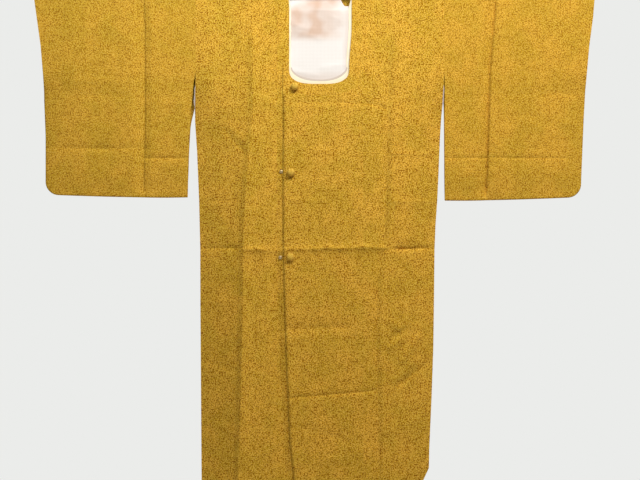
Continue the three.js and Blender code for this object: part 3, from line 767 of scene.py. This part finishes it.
# The seam silk is painted shade: a darker line along the facing's upper edge, where it meets the lining
seamPaintedShadeSilk = silkMaterial("habutaeSeamPaintedShade", silk["seam"], silk["seam"])

print("metal, wood and thread")
scuffSize = 2
beech = {"shades": [(0.28, "7d5a37"), (0.5, "a67c52"), (0.75, "bd9468")], "grainSize": 3.5,
         "grainDrawn": 0.06}
thread = {"shades": [(0.2, "8a641c"), (0.8, "d9b869")], "size": 0.6}


def nickelMaterial(name, tone, wornAndReflected, roughness):
    # Nickel plated brass or steel, barrelled: a soft mirror with fine scuffs
    material, tree, shader = newMaterial(name, **{"Metallic": 1.0, "Roughness": roughness})
    scuff = noiseOf(tree, solidPlace(tree), scuffSize, 4.0, 0.0, "3D")
    spread = mapRange(tree, scuff, 0.0, 1.0, roughness - 0.08, roughness + 0.12)
    setInput(tree, shader.inputs["Roughness"], spread)
    finishLook(tree, shader, addRamp(tree, scuff, [(0.3, tone), (0.7, wornAndReflected)]))
    return material


def beechMaterial(name):
    # Turned beech, waxed: pale brown, with short dark flecks along the grain and a dull shine
    material, tree, shader = newMaterial(name, **{
        "Roughness": 0.5, "Coat Weight": 0.15, "Coat Roughness": 0.4})
    drawn = moved(tree, solidPlace(tree), Scale=(beech["grainDrawn"], 1, 1))
    grain = noiseOf(tree, drawn, beech["grainSize"], 5.0, 0.6, "3D")
    finishLook(tree, shader, addRamp(tree, grain, beech["shades"]), grain, 0.25, 0.0004)
    return material


def threadMaterial(name):
    # Silk sewing thread: matt, its tone changing softly along it
    material, tree, shader = newMaterial(name, **{"Roughness": 0.6, "Sheen Weight": 0.3})
    twist = bandsOf(tree, solidPlace(tree), thread["size"], "DIAGONAL")
    finishLook(tree, shader, addRamp(tree, twist, thread["shades"]))
    return material


# The stud's tones are golden, not nickel grey: painted reflection of the crepe around it
studPaintedReflection = nickelMaterial("platedStudPaintedReflection", "a0865a", "dcc492", 0.55)
hookWire = nickelMaterial("platedWire", "8e9194", "dfe1e3", 0.28)
waxedBeech = beechMaterial("waxedBeech")
silkThread = threadMaterial("silkThread")

print("body lengths")
bodyGrid = {
    "rowSpacing": 4.6,
    "backRowSpacing": 5.6,
    "sharpDrops": (281, 407, 516, 630, 980),
    # Shares of the way from the seam, by the pressed line at 1, to the side at 2. They are closer
    # together about the line, and where the side turns back. The narrow first and last columns
    # keep the rounded shading of a free edge off the seams.
    "columns": [(0.006, 1), (0.8, 0.05), (1.2, 0.025), (1.84, 0.04), (1.994, 0.02), (2, 1)],
}
underBand = coat["bandWidth"] - cloth["seamOverlap"]
hemTurn = lengthAt(coat["length"]) - coat["turnedIn"]


def neckCurve(angle):
    # The neck's round at a size of 1, squarer than a circle
    power = 2 / coat["neckPower"]
    across = abs(cos(angle)) ** power * (1 if cos(angle) >= 0 else -1)
    return across, abs(sin(angle)) ** power


def neckFrontEdge(grow, angle):
    across, down = neckCurve(angle)
    drop = coat["neckStraight"] + (coat["neckRound"] + grow) * down
    return (coat["neckHalfWidth"] + grow) * across, lengthAt(drop)


def neckBackEdge(grow, angle):
    return (coat["neckHalfWidth"] + grow) * cos(angle), -(foldLength + grow) * sin(angle)


def neckDropAt(x, grow):
    # The drop of the neck's front edge at an x, grown outwards
    across = min(1, abs(x) / (coat["neckHalfWidth"] + grow)) ** coat["neckPower"]
    down = (1 - across) ** (1 / coat["neckPower"])
    return coat["neckStraight"] + (coat["neckRound"] + grow) * down


def makeBody(half):
    # Each row has its length and where it starts: at the lap's seam, under the band, at the
    # round of the neck, and at the centre seam of the back.
    beside = coat["neckHalfWidth"] + underBand
    drops = rowsNearFolds(coat["length"], foldRadius, bodyGrid["rowSpacing"], bodyGrid["sharpDrops"])
    below = lapSeam + seamGaps["front"]
    rows = [(lengthAt(drop), below if drop > coat["neckStraight"] else beside) for drop in drops]
    rows += [(length, beside) for length in steps(foldLength, 0, foldSpacing)[1:]]
    for angle in steps(0, pi / 2, pi / 60)[1:]:
        x, length = neckBackEdge(underBand, angle)
        rows.append((length, max(x, seamGaps["back"])))
    backDrops = steps(dropAt(rows[-1][0]), coat["length"], bodyGrid["backRowSpacing"])[1:]
    rows += [(-lengthAt(drop), seamGaps["back"]) for drop in backDrops]

    def place(row, share):
        length, inner = row
        drop = dropAt(length)
        x = blend(inner, valueAt(half["bodyCrease"], drop), min(share, 1))
        x = half["sign"] * blend(x, valueAt(half["bodyEdge"], drop), max(share - 1, 0))
        return onBody(x, length, lapLift(x, length)), x, length

    neckTurn = -(foldLength + coat["bandWidth"] + coat["turnedIn"])

    def turnedIn(x, length):
        return abs(length) > hemTurn or neckTurn < length < 0

    columns = runs(0, *bodyGrid["columns"])
    mesh = clothGrid(rows, columns, place, turnedIn, (half["sign"] * 0.6, 0))
    piece = addCloth(f"bodyLength_{half['name']}", mesh, linedCrepe,
                     f"body_{half['name']}", cloth["wall"])


linedCrepe = [crepeCloth, liningSilk, crepeCloth, crepeCloth]
makeBody(right)
makeBody(left)

print("laps")
lapGrid = {
    "columns": 44,
    "columnPower": 1.35,  # closer together where the neck's round starts
    "firstColumn": 0.003,
    "level": 331,
    "topRows": 26,
    "firstRow": 0.01,
    "rowSpacing": 4.6,
}
# A free edge: how far in its roll and its curl reach, and the drops in which the roll starts
lapEdge = {"rollReach": 7, "rollDrops": (255, 300), "curlReach": 26, "foldedFrom": 260}


def makeLap(lap):
    seamX, freeEdge = lap["seamX"], lap["freeEdge"]
    firstFree = valueAt(freeEdge, 0)
    columns = [share ** lapGrid["columnPower"] for share in steps(0, 1, 1 / lapGrid["columns"])]
    columns.insert(1, lapGrid["firstColumn"])
    rows = [("top", share) for share in steps(0, 1, 1 / lapGrid["topRows"])[:-1]]
    rows.insert(1, ("top", lapGrid["firstRow"]))
    rows += [("low", drop) for drop in rowsNearFolds(
        lapGrid["level"], coat["length"], lapGrid["rowSpacing"], bodyGrid["sharpDrops"])]

    def place(row, share):
        kind, value = row
        topDrop = neckDropAt(blend(seamX, firstFree, share), underBand)
        drop = blend(topDrop, lapGrid["level"], value) if kind == "top" else value
        x = blend(seamX, valueAt(freeEdge, drop), share)
        fromEdge = abs(x - valueAt(freeEdge, drop))
        rolled = lap["roll"] * max(0, 1 - fromEdge / lapEdge["rollReach"]) ** 2
        curled = valueAt(lap["curl"], drop) * max(0, 1 - fromEdge / lapEdge["curlReach"]) ** 2
        offset = lap["lift"] + (curled - rolled * smooth(drop, *lapEdge["rollDrops"]))
        return onBody(x, lengthAt(drop), offset), x, lengthAt(drop)

    def fromFree(x, length):
        return abs(valueAt(freeEdge, dropAt(length)) - x)

    def turnedIn(x, length):
        return length > hemTurn or fromFree(x, length) < coat["turnedIn"]

    def folded(x, length):
        return length > lengthAt(lapEdge["foldedFrom"]) and fromFree(x, length) < 0.5

    mesh = clothGrid(rows, columns, place, turnedIn, lap["shift"], folded)
    piece = addCloth(lap["name"], mesh, linedCrepe, lap["replaces"], cloth["wall"])


makeLap({
    "name": "topLap",
    "replaces": "overlap_left",
    "seamX": lapSeam + seamGaps["lap"],
    "freeEdge": topLapEdge,
    "lift": cloth["lapStep"],
    "roll": 1.3,
    # It stands away from the under lap, more so towards the hem.
    "curl": [(0, 0), (270, 0), (330, 0.5), (620, 0.9), (760, 1.6), (1190, 2.2)],
    "shift": (1.9, 0.4),
    "flat": (0.191, 0.99),
    "area": 0.176,
})
makeLap({
    "name": "underLap",
    "replaces": "overlap_right",
    "seamX": -lapSeam - seamGaps["lap"],
    "freeEdge": [(0, coat["underLapEdge"])],
    "lift": 0,
    "roll": 0,
    "curl": [(0, 0)],
    "shift": (2.7, 0.9),
    "flat": (0.183, 0.99),
    "area": 0.172,
})

print("collar band")
band = {
    "frontStep": 2.5,
    "sideSpacing": 5,
    "backStep": 3,
    "crown": 0.45,
    "columns": [(0.02, 1), (0.985, 0.125), (1, 1)],
    "underStart": 45,
}


def makeBand():
    # Stations round the neck: an edge, the place along it, and whether it is on the top layer
    def front(start, end, top):
        return [(neckFrontEdge, radians(angle), top) for angle in steps(start, end, band["frontStep"])]

    def back(start, end):
        return [(neckBackEdge, radians(angle), True) for angle in steps(start, end, band["backStep"])]

    def side(sign, lengths, top):
        def edge(grow, length):
            return sign * (coat["neckHalfWidth"] + grow), length
        return [(edge, length, top) for length in lengths]

    sideParts = (foldLength, band["sideSpacing"]), (0, foldSpacing)
    lengths = runs(lengthAt(coat["neckStraight"]), *sideParts)[1:]
    under = front(band["underStart"], 180, False)
    stations = under + side(-1, lengths, False) + back(180, 90)[1:] + back(90, 0)[1:-1]
    stations += side(1, lengths[::-1], True) + front(0, 180, True)
    travelled = lengthsAlong([Vector(edge(coat["bandWidth"] / 2, at)) for edge, at, top in stations])

    def place(index, share):
        edge, position, top = stations[index]
        x, length = edge(coat["bandWidth"] * share, position)
        if top and length > 0:
            x = max(x, valueAt(topLapEdge, dropAt(length)))
        if index < len(under):
            x = min(x, coat["underLapEdge"])
        lift = lapLift(x, length) if top else 0
        crown = band["crown"] * (1 - (2 * share - 1) ** 4)
        offset = lift + cloth["bandRise"] - band["crown"] + crown
        return onBody(x, length, offset), share * coat["bandWidth"], travelled[index]

    mesh = clothGrid(range(len(stations)), runs(0, *band["columns"]), place, None, (4.2, 0.3))
    piece = addCloth("collarBand", mesh, [crepeBand], "collar_band", cloth["bandWall"])


makeBand()

print("neck facing")
facing = {
    "upperHalfWidth": 70,
    "upperStart": 194.6,
    "upperRound": 32,
    "lowerHalfWidth": 84,
    "lowerRound": 52,
    "roundAngles": (176, 4, 2.5),
    "sideDrops": (16, 194, 5),
    "shows": {-1: 4.5, 1: 7.5},  # how much of it shows beside the neck, on the right and the left
    "showDrops": (20, 60),
    "underBody": 8,
    "width": 20,
    "columns": 5,
    # how far across the painted shade along the upper edge reaches, as a share of the width
    "paintedShadeShare": 0.18,
    "seamSink": 0.8,
}


def makeFacing():
    drops = steps(*facing["sideDrops"])
    stations = [("side", -1, drop) for drop in drops]
    stations += [("round", 0, radians(angle)) for angle in steps(*facing["roundAngles"])]
    stations += [("side", 1, drop) for drop in drops[::-1]]

    def flatPoint(station, share):
        kind, sign, value = station
        if kind == "side":
            shown = facing["shows"][sign] * smooth(value, *facing["showDrops"])
            across = coat["neckHalfWidth"] + blend(-shown, facing["underBody"], share)
            return Vector((sign * across, value))
        upper = Vector((facing["upperHalfWidth"] * cos(value),
                        facing["upperStart"] + facing["upperRound"] * sin(value)))
        across, down = neckCurve(value)
        lower = Vector((facing["lowerHalfWidth"] * across,
                        coat["neckStraight"] + facing["lowerRound"] * down))
        return upper.lerp(lower, share)

    travelled = lengthsAlong([flatPoint(station, 0.5) for station in stations])

    def place(index, share):
        x, drop = flatPoint(stations[index], share)
        behind = -cloth["liningGap"] - (facing["seamSink"] if share == 0 else 0)
        return onBody(x, lengthAt(drop), behind), share * facing["width"], travelled[index]

    turns = [along for along, station in zip(travelled, stations) if station[0] == "round"]

    # Faces along the round top edge take the seam silk: painted shade where the facing meets the lining
    def inPaintedSeamShade(across, along):
        return across < facing["paintedShadeShare"] * facing["width"] and turns[0] < along < turns[-1]

    columns = runs(0, (facing["paintedShadeShare"], 1), (1, 1 / facing["columns"]))
    mesh = clothGrid(range(len(stations)), columns, place, inPaintedSeamShade)
    piece = addCloth("neckFacing", mesh, [facingSilk, facingSilk, seamPaintedShadeSilk, facingSilk],
                     "neck_facing", cloth["liningWall"])


makeFacing()

print("lining")
lining = {
    "halfWidth": 140,
    "highest": 18,
    "foot": 420,
    "spacing": 4,
    "bandCover": (27, 49),  # its top over the band's inside, and at the corner that it leaves
    "coverCorner": (46, 60),
    "coverEnds": (74, 84),
    "behindBand": 0.3,
    "behindBack": 1.5,
    "behindEdge": 2.7,
    "bagDrops": (22, 60, 250, 330),
    "bagSides": (84, 108),
}
sideLining = {"high": 233, "low": 308, "peep": 3.5, "leastPeep": 0.2, "inner": 26, "spacing": 2.5}


def makeBackLining():
    bagStarts, bagFull, bagFades, bagEnds = lining["bagDrops"]
    bagSide, bagGone = lining["bagSides"]
    backSide = foldLength + coat["bandWidth"] + lining["behindBand"]

    def topAt(x):
        # The lining covers the band's inside at the back of the neck, but for one corner.
        across = min(1, abs(x) / lapSeam)
        beside = max(lining["highest"], dropAt(backSide * sqrt(1 - across * across)))
        covered = blend(*lining["bandCover"], smooth(x, *lining["coverCorner"]))
        return blend(covered, beside, smooth(abs(x), *lining["coverEnds"]))

    def place(row, x):
        # It bags forward until it lies close behind the neck's edge.
        drop = blend(topAt(x), lining["foot"], row)
        back = bodyBack(x, drop) - cloth["liningGap"] - lining["behindBack"]
        near = cloth["liningWall"] - bodyFront(x, drop) + lining["behindEdge"]
        bagged = smooth(drop, bagStarts, bagFull) * smooth(drop, bagEnds, bagFades)
        depth = blend(back, near, bagged * smooth(abs(x), bagGone, bagSide))
        depth -= wrinkleHeight(liningWrinkles, x, drop)
        return Vector((x, depth, shoulderZ - drop)), x, lengthAt(drop)

    rows = steps(0, 1, lining["spacing"] / (lining["foot"] - lining["highest"]))
    columns = steps(-lining["halfWidth"], lining["halfWidth"], lining["spacing"])
    mesh = clothGrid(rows, columns, place)
    piece = addCloth("backLining", mesh, [liningSilk], "lining_back",
                     cloth["liningWall"], forward=-1)


def makeSideLining(half):
    high, low = sideLining["high"], sideLining["low"]

    def place(drop, share):
        # It peeps out furthest in its middle, with a slightly uneven edge.
        edge = valueAt(half["bodyEdge"], drop)
        out = sideLining["peep"] * sin(pi * (drop - high) / (low - high)) + 0.5 * sin(drop * 0.21)
        out = max(sideLining["leastPeep"], out)
        x = half["sign"] * blend(edge - sideLining["inner"], edge + out, share)
        depth = cloth["liningGap"] - bodyFront(half["sign"] * min(abs(x), edge), drop)
        return Vector((x, depth, shoulderZ - drop)), x, lengthAt(drop)

    mesh = clothGrid(steps(high, low, sideLining["spacing"]), steps(0, 1, 0.1), place)
    name = half["name"]
    piece = addCloth(f"sideLining_{name}", mesh, [liningSilk], f"lining_side_{name}",
                     cloth["liningWall"])


makeBackLining()
makeSideLining(right)
makeSideLining(left)

print("sleeves")
sleeveGrid = {
    "rowSpacing": 4.8,
    "backRowSpacing": 6.5,
    "sharpDrops": (391, 412),
    # Shares as on the body, up to the rounded corner
    "columns": [(0.005, 1), (0.76, 0.045), (0.94, 0.02), (1.04, 0.0085), (1.12, 0.02)],
    # The back's armhole is sewn further down, and closes the gap behind the front.
    "backSeamDrops": (250, 345),
    "turnedInFrom": 600,  # everything past this x is in the outer turning
}


def makeSleeve(half):
    level = sleeve["level"]
    outer, crease, seam = half["sleeveOuter"], half["sleeveCrease"], half["sleeveInner"]
    cornerShare = sleeve["corner"] / (valueAt(outer, level) - valueAt(crease, level))
    columns = [(share, 0) for share in runs(0, *sleeveGrid["columns"], (2 - cornerShare, 0.022))]
    for angle in steps(0, pi / 2, pi / 20)[1:]:
        columns.append((2 - cornerShare * (1 - sin(angle)), sleeve["corner"] * (1 - cos(angle))))

    def xAt(share, drop, towards=1):
        start = valueAt(seam, drop)
        if towards < 0:
            closed = coat["armholeAt"] + seamGaps["armhole"]
            start = blend(closed, start, smooth(drop, *sleeveGrid["backSeamDrops"]))
        inside = blend(start, valueAt(crease, drop), min(share, 1))
        return half["sign"] * blend(inside, valueAt(outer, drop), max(share - 1, 0))

    # The rows go down the front, round the bottom, up the back and over the rod.
    lows = steps(0, 1, 1 / 16)
    rows = [("face", 1, drop, 0) for drop in rowsNearFolds(
        foldRadius, level, sleeveGrid["rowSpacing"], sleeveGrid["sharpDrops"])]
    rows += [("face", 1, level, low) for low in lows[1:]]
    rows += [("turn", angle, 0, 0) for angle in steps(0, pi, pi / 8)[1:-1]]
    rows += [("face", -1, level, low) for low in lows[:0:-1]]
    rows += [("face", -1, drop, 0) for drop in steps(level, foldRadius, sleeveGrid["backRowSpacing"])]
    rows += [("fold", length, 0, 0) for length in steps(-foldLength, foldLength, foldSpacing)[1:]]

    def place(row, column):
        kind, value, drop, low = row
        share, lift = column
        if kind == "fold":
            x = xAt(share, 0)
            return hangPoint(x, value, 0, sleeveFace, sleeveFace), x, value
        sag = sleeve["bottomSag"] * sin(pi * share / 2)
        bottom = blend(*half["sleeveBottom"], share / 2) + sag - lift
        bottomX = xAt(share, bottom)
        turn = sleeveFace(bottomX, bottom, bottom)
        if kind == "turn":
            z = shoulderZ - (bottom - turn) - turn * sin(value)
            flatY = lengthAt(bottom - turn) + turn * value
            return Vector((bottomX, -turn * cos(value), z)), bottomX, flatY
        at = blend(drop, bottom - turn, low)
        x = xAt(share, at, value)
        depth = turn if low == 1 else sleeveFace(x, at, bottom, value)
        length = lengthAt(at)
        flatY = length if value > 0 else 2 * lengthAt(bottom) - length
        return hangPoint(x, value * length, 0, lambda x, drop: depth, lambda x, drop: depth), x, flatY

    turnedTo = valueAt(seam, 250) + coat["turnedIn"]

    def turnedIn(x, flatY):
        return abs(x) < turnedTo or abs(x) > sleeveGrid["turnedInFrom"]

    mesh = clothGrid(rows, columns, place, turnedIn, (half["sign"] * 1.7, 0.8))
    name = half["name"]
    piece = addCloth(f"sleeveBag_{name}", mesh, [crepeSleevePaintedShade, liningSilk, crepeSleevePaintedShade, crepeSleevePaintedShade],
                     f"sleeve_{name}", cloth["wall"])
    around = 2 * lengthAt(half["sleeveBottom"][0]) * mm
    across = (valueAt(outer, 0) - valueAt(seam, 0)) * mm


makeSleeve(right)
makeSleeve(left)

print("buttons and press studs")
buttons = [
    # number, x, drop, radius, height, height of the cloth's face over its middle
    (1, -60.5, 244.4, 9.3, 12, cloth["bandRise"] + cloth["bandWall"] / 2),
    (2, -69.3, 449, 9.7, 12, cloth["wall"] / 2),
    (3, -70.2, 649.5, 9.4, 9, cloth["wall"] / 2),
]
# The flat back of a ball takes 0.3 of its height, and its dome the rest.
ball = {"back": 0.3, "pleats": 9, "pleatDepth": 0.05, "lump": 0.025, "lumpSize": 4, "sides": 36}
shank = {
    "radius": 3,
    "height": 1.5,
    "rings": [(2.2, -0.2), (3.1, 0), (3.3, 0.35), (2.9, 0.5), (3.3, 0.75), (2.9, 0.95),
              (3.2, 1.2), (2.6, 1.5)],
    "sides": 18,
}
studs = [(1, -92, 446.9), (2, -94.3, 651)]  # number, x, drop
plate = {
    "rings": [(3.9, 0), (4.2, 0.15), (4.2, 0.5), (3.9, 0.62), (2.75, 0.72), (2.5, 0.95), (2.25, 1.5),
              (1.95, 1.6), (1.2, 1.6), (0.95, 1.35), (0.9, 1.0)],
    "radius": 4.2,
    "sides": 28,
}
stitch = {"radius": 0.22, "length": 2.6, "strands": (-0.45, 0, 0.45), "reach": 3.7, "arch": 0.85,
          "archFall": 0.28, "least": 0.1}
seatGap = 0.1


def seatDepth(x, drop, radius):
    # The furthest forward that the cloth comes under a round foot
    around = [bodyFront(x + radius * cos(a), drop + radius * sin(a)) for a in steps(0, 2 * pi, pi / 4)]
    return max(around + [bodyFront(x, drop)])


def turnedRings(rings, sides, ripple=None):
    # A turned form about +z from rings of radius and height, closed at both ends
    mesh = bmesh.new()
    bmesh.ops.create_circle(mesh, segments=sides, radius=rings[0][0], cap_ends=True)
    bmesh.ops.translate(mesh, verts=mesh.verts, vec=(0, 0, rings[0][1]))
    edges = list(mesh.edges)
    for radius, height in rings[1:]:
        grown = bmesh.ops.extrude_edge_only(mesh, edges=edges)["geom"]
        edges = [item for item in grown if isinstance(item, bmesh.types.BMEdge)]
        for vertex in (item for item in grown if isinstance(item, bmesh.types.BMVert)):
            away = vertex.co.xy.normalized() * radius
            vertex.co = (away.x, away.y, height)
    bmesh.ops.contextual_create(mesh, geom=edges)
    if ripple:
        for vertex in mesh.verts:
            ripple(vertex)
    for face in mesh.faces:
        face.smooth = True
    return mesh


def addFront(name, mesh, seat, material, replaced=None):
    # Turns a form's +z to the front, and sets it on the coat at an x, depth and drop
    x, depth, drop = seat
    for vertex in mesh.verts:
        across, up, out = vertex.co
        vertex.co = Vector((x + across, -(depth + out), shoulderZ - drop + up)) * mm
    addSolid(name, mesh, material, replaced)


def makeButton(number, x, drop, radius, height, rise):
    level = shank["height"] + ball["back"] * height * sin(radians(55))
    foot = shank["radius"] * 0.8
    rings = [(foot, 0.15), (foot, shank["height"])]
    for angle in steps(-66, 86, 8):
        share = ball["back"] if angle < 0 else 1 - ball["back"]
        rings.append((radius * cos(radians(angle)), level + share * height * sin(radians(angle))))

    def gathers(vertex):
        # The cover is gathered behind, with soft pleats that die out towards the front.
        behind = smooth(level + 0.1 * height - vertex.co.z, 0, 0.35 * height)
        away = vertex.co.xy
        turn = away.angle_signed(Vector((1, 0)), 0) if away.length > 0.01 else 0
        lump = noise.noise(Vector((away.x / ball["lumpSize"], away.y / ball["lumpSize"], radius)))
        grow = 1 + behind * ball["pleatDepth"] * sin(ball["pleats"] * turn) + ball["lump"] * lump
        vertex.co.x *= grow
        vertex.co.y *= grow

    mesh = turnedRings(rings, ball["sides"], gathers)
    uvLayer = mesh.loops.layers.uv.new("flatCloth")
    for face in mesh.faces:
        for loop in face.loops:
            flatX, flatY, flatZ = loop.vert.co
            loop[uvLayer].uv = (flatX * mm + 0.31, flatY * mm + flatZ * mm)
    seat = x, seatDepth(x, drop, shank["radius"]) + cloth["lapStep"] + rise + seatGap, drop
    addFront(f"buttonBall_{number}", mesh, seat, crepeButtonPaintedLight, f"button_{number}")
    wound = turnedRings(shank["rings"], shank["sides"])
    addFront(f"buttonShank_{number}", wound, seat, silkThread)


def makeStud(number, x, drop):
    mesh = turnedRings(plate["rings"], plate["sides"])
    seat = x, seatDepth(x, drop, plate["radius"]) + cloth["wall"] / 2 + seatGap, drop
    addFront(f"studPlate_{number}", mesh, seat, studPaintedReflection, f"stud_{number}")
    # Four stitches of three strands each, arched over the plate's edge
    stitches = bmesh.new()
    for angle in (radians(45 + 90 * quarter) for quarter in range(4)):
        for strand in stitch["strands"]:
            made = bmesh.ops.create_cone(
                stitches, cap_ends=True, segments=8, radius1=stitch["radius"],
                radius2=stitch["radius"], depth=stitch["length"])
            for vertex in made["verts"]:
                out, side, along = vertex.co
                side += strand
                reach = stitch["reach"] + along
                arch = stitch["arch"] - stitch["archFall"] * along * along
                vertex.co = Vector((reach * cos(angle) - side * sin(angle),
                                    reach * sin(angle) + side * cos(angle),
                                    max(stitch["least"], arch) + out))
    addFront(f"studStitches_{number}", stitches, seat, silkThread)


for button in buttons:
    makeButton(*button)
for stud in studs:
    makeStud(*stud)

print("rod and hook")


def makeRod():
    end = rod["length"] / 2
    rounded = rod["endRound"]
    rings = []
    for angle in steps(0, pi / 2, pi / 12):
        rings.append((rod["radius"] - rounded * (1 - sin(angle)), -end + rounded * (1 - cos(angle))))
    inner = end - rounded - 10
    middle = [(rod["radius"], z) for z in steps(-inner, inner, rod["ringSpacing"])]
    mesh = turnedRings(rings + middle + [(radius, -z) for radius, z in rings[::-1]], 48)
    for vertex in mesh.verts:
        x, y, z = vertex.co
        vertex.co = Vector((z, y, rod["axisZ"] - x)) * mm
    addSolid("hangingRod", mesh, waxedBeech, "rod")


def makeHook():
    # A wire from the rod's bore up a short neck, and round the bend that holds the peg
    bend = hook["pegRadius"] + hook["wireRadius"]
    foot = rod["axisZ"] + rod["radius"] - hook["boreDepth"] + 0.3
    neckZ = -hook["pegRadius"] - 2 * bend

    def onBend(angle):
        return Vector((bend * cos(angle), 0, bend * sin(angle) - hook["pegRadius"]))

    start = radians(hook["bendFrom"])
    neck = Vector((0, 0, neckZ))
    handle = Vector((0, 0, neckZ + hook["neckLead"]))
    joint = onBend(start)
    before = joint - Vector((-sin(start), 0, cos(start))) * hook["bendLead"]
    path = [Vector((0, 0, z)) for z in steps(foot, neckZ, 6)]
    for t in steps(0, 1, 0.1)[1:]:
        u = 1 - t
        path.append(neck * u ** 3 + handle * 3 * u * u * t + before * 3 * u * t * t + joint * t ** 3)
    path += [onBend(radians(angle)) for angle in steps(hook["bendFrom"], hook["bendTo"], 5)[1:]]
    curve = bpy.data.curves.new("wireHook", "CURVE")
    curve.dimensions = "3D"
    curve.bevel_depth = hook["wireRadius"] * mm
    curve.bevel_resolution = 6
    curve.use_fill_caps = True
    spline = curve.splines.new("POLY")
    spline.points.add(len(path) - 1)
    for point, place in zip(spline.points, path):
        point.co = (*(place * mm), 1)
    for point, share in zip(reversed(spline.points), hook["tip"]):
        point.radius = share  # the wire's end is rounded
    curve.materials.append(hookWire)
    takePlace(newObject("wireHook", curve), "hook")


makeRod()
makeHook()

print("stage")
stage = {
    "floorZ": -1.9,
    "floorRadius": 3.0,
    "floorTone": "f0f0ec",
    "backTone": "ebecea",
    "ambient": 0.12,
    "ambientTone": (1, 0.9, 0.75, 1),
}
studio = [
    # name, place, aim, size, power, colour
    ("keyLight", (0.9, -1.7, 1.5), (0.05, 0, -0.6), 0.7, 66, (1, 1, 1)),
    ("sideLight", (1.7, -0.9, 0.4), (0.4, 0, -0.3), 0.4, 4.5, (1, 1, 1)),
    ("upperLight", (-0.26, -0.95, 0.45), (-0.12, 0, -0.06), 0.6, 8, (0.86, 1, 1.05)),
    ("fillLight", (-0.6, -2.4, 0.3), (-0.1, 0, -0.3), 1.6, 3, (1, 1, 1)),
    ("backLight", (-0.7, 1.9, 1.5), (0, 0, -0.6), 0.9, 85, (1, 1, 1)),
]


def makeFloor():
    mesh = bmesh.new()
    bmesh.ops.create_circle(mesh, segments=96, radius=stage["floorRadius"], cap_ends=True)
    bmesh.ops.translate(mesh, verts=mesh.verts, vec=(0, 0, stage["floorZ"]))
    paint = newMaterial("palePaintedFloor", **{"Base Color": stage["floorTone"], "Roughness": 0.8})
    meshObject("floor", mesh, [paint[0]])


def makeLights():
    # The camera sees a pale backdrop, and everything else gets a weak warm light from around.
    world = bpy.data.worlds.new("studio")
    bpy.context.scene.world = world
    world.use_nodes = True
    tree = world.node_tree
    tree.nodes.clear()
    seen = addNode(tree, "Background", inputs={"Color": stage["backTone"], "Strength": 1.0})
    lit = addNode(tree, "Background", inputs={
        "Color": stage["ambientTone"], "Strength": stage["ambient"]})
    rays = addNode(tree, "LightPath")
    mix = addNode(tree, "MixShader", inputs={
        0: rays.outputs["Is Camera Ray"], 1: lit.outputs[0], 2: seen.outputs[0]})
    addNode(tree, "OutputWorld", inputs={"Surface": mix.outputs[0]})
    for name, place, aim, size, power, tint in studio:
        lamp = bpy.data.lights.new(name, "AREA")
        lamp.shape = "DISK"
        lamp.size = size
        lamp.energy = power
        lamp.color = tint
        light = newObject(name, lamp)
        light.location = place
        light.rotation_euler = (Vector(aim) - Vector(place)).to_track_quat("-Z", "Y").to_euler()


makeFloor()
makeLights()

print("camera")
view = {"lens": 70.87, "distance": 3.028, "height": -0.6832}
lens = bpy.data.cameras.new("camera")
lens.lens = view["lens"]
lens.sensor_width = 36
lens.clip_end = 50
camera = newObject("camera", lens)
camera.location = (0, -view["distance"], view["height"])
camera.rotation_euler = (pi / 2, 0, 0)
bpy.context.scene.camera = camera
bpy.context.scene.view_settings.view_transform = "Standard"
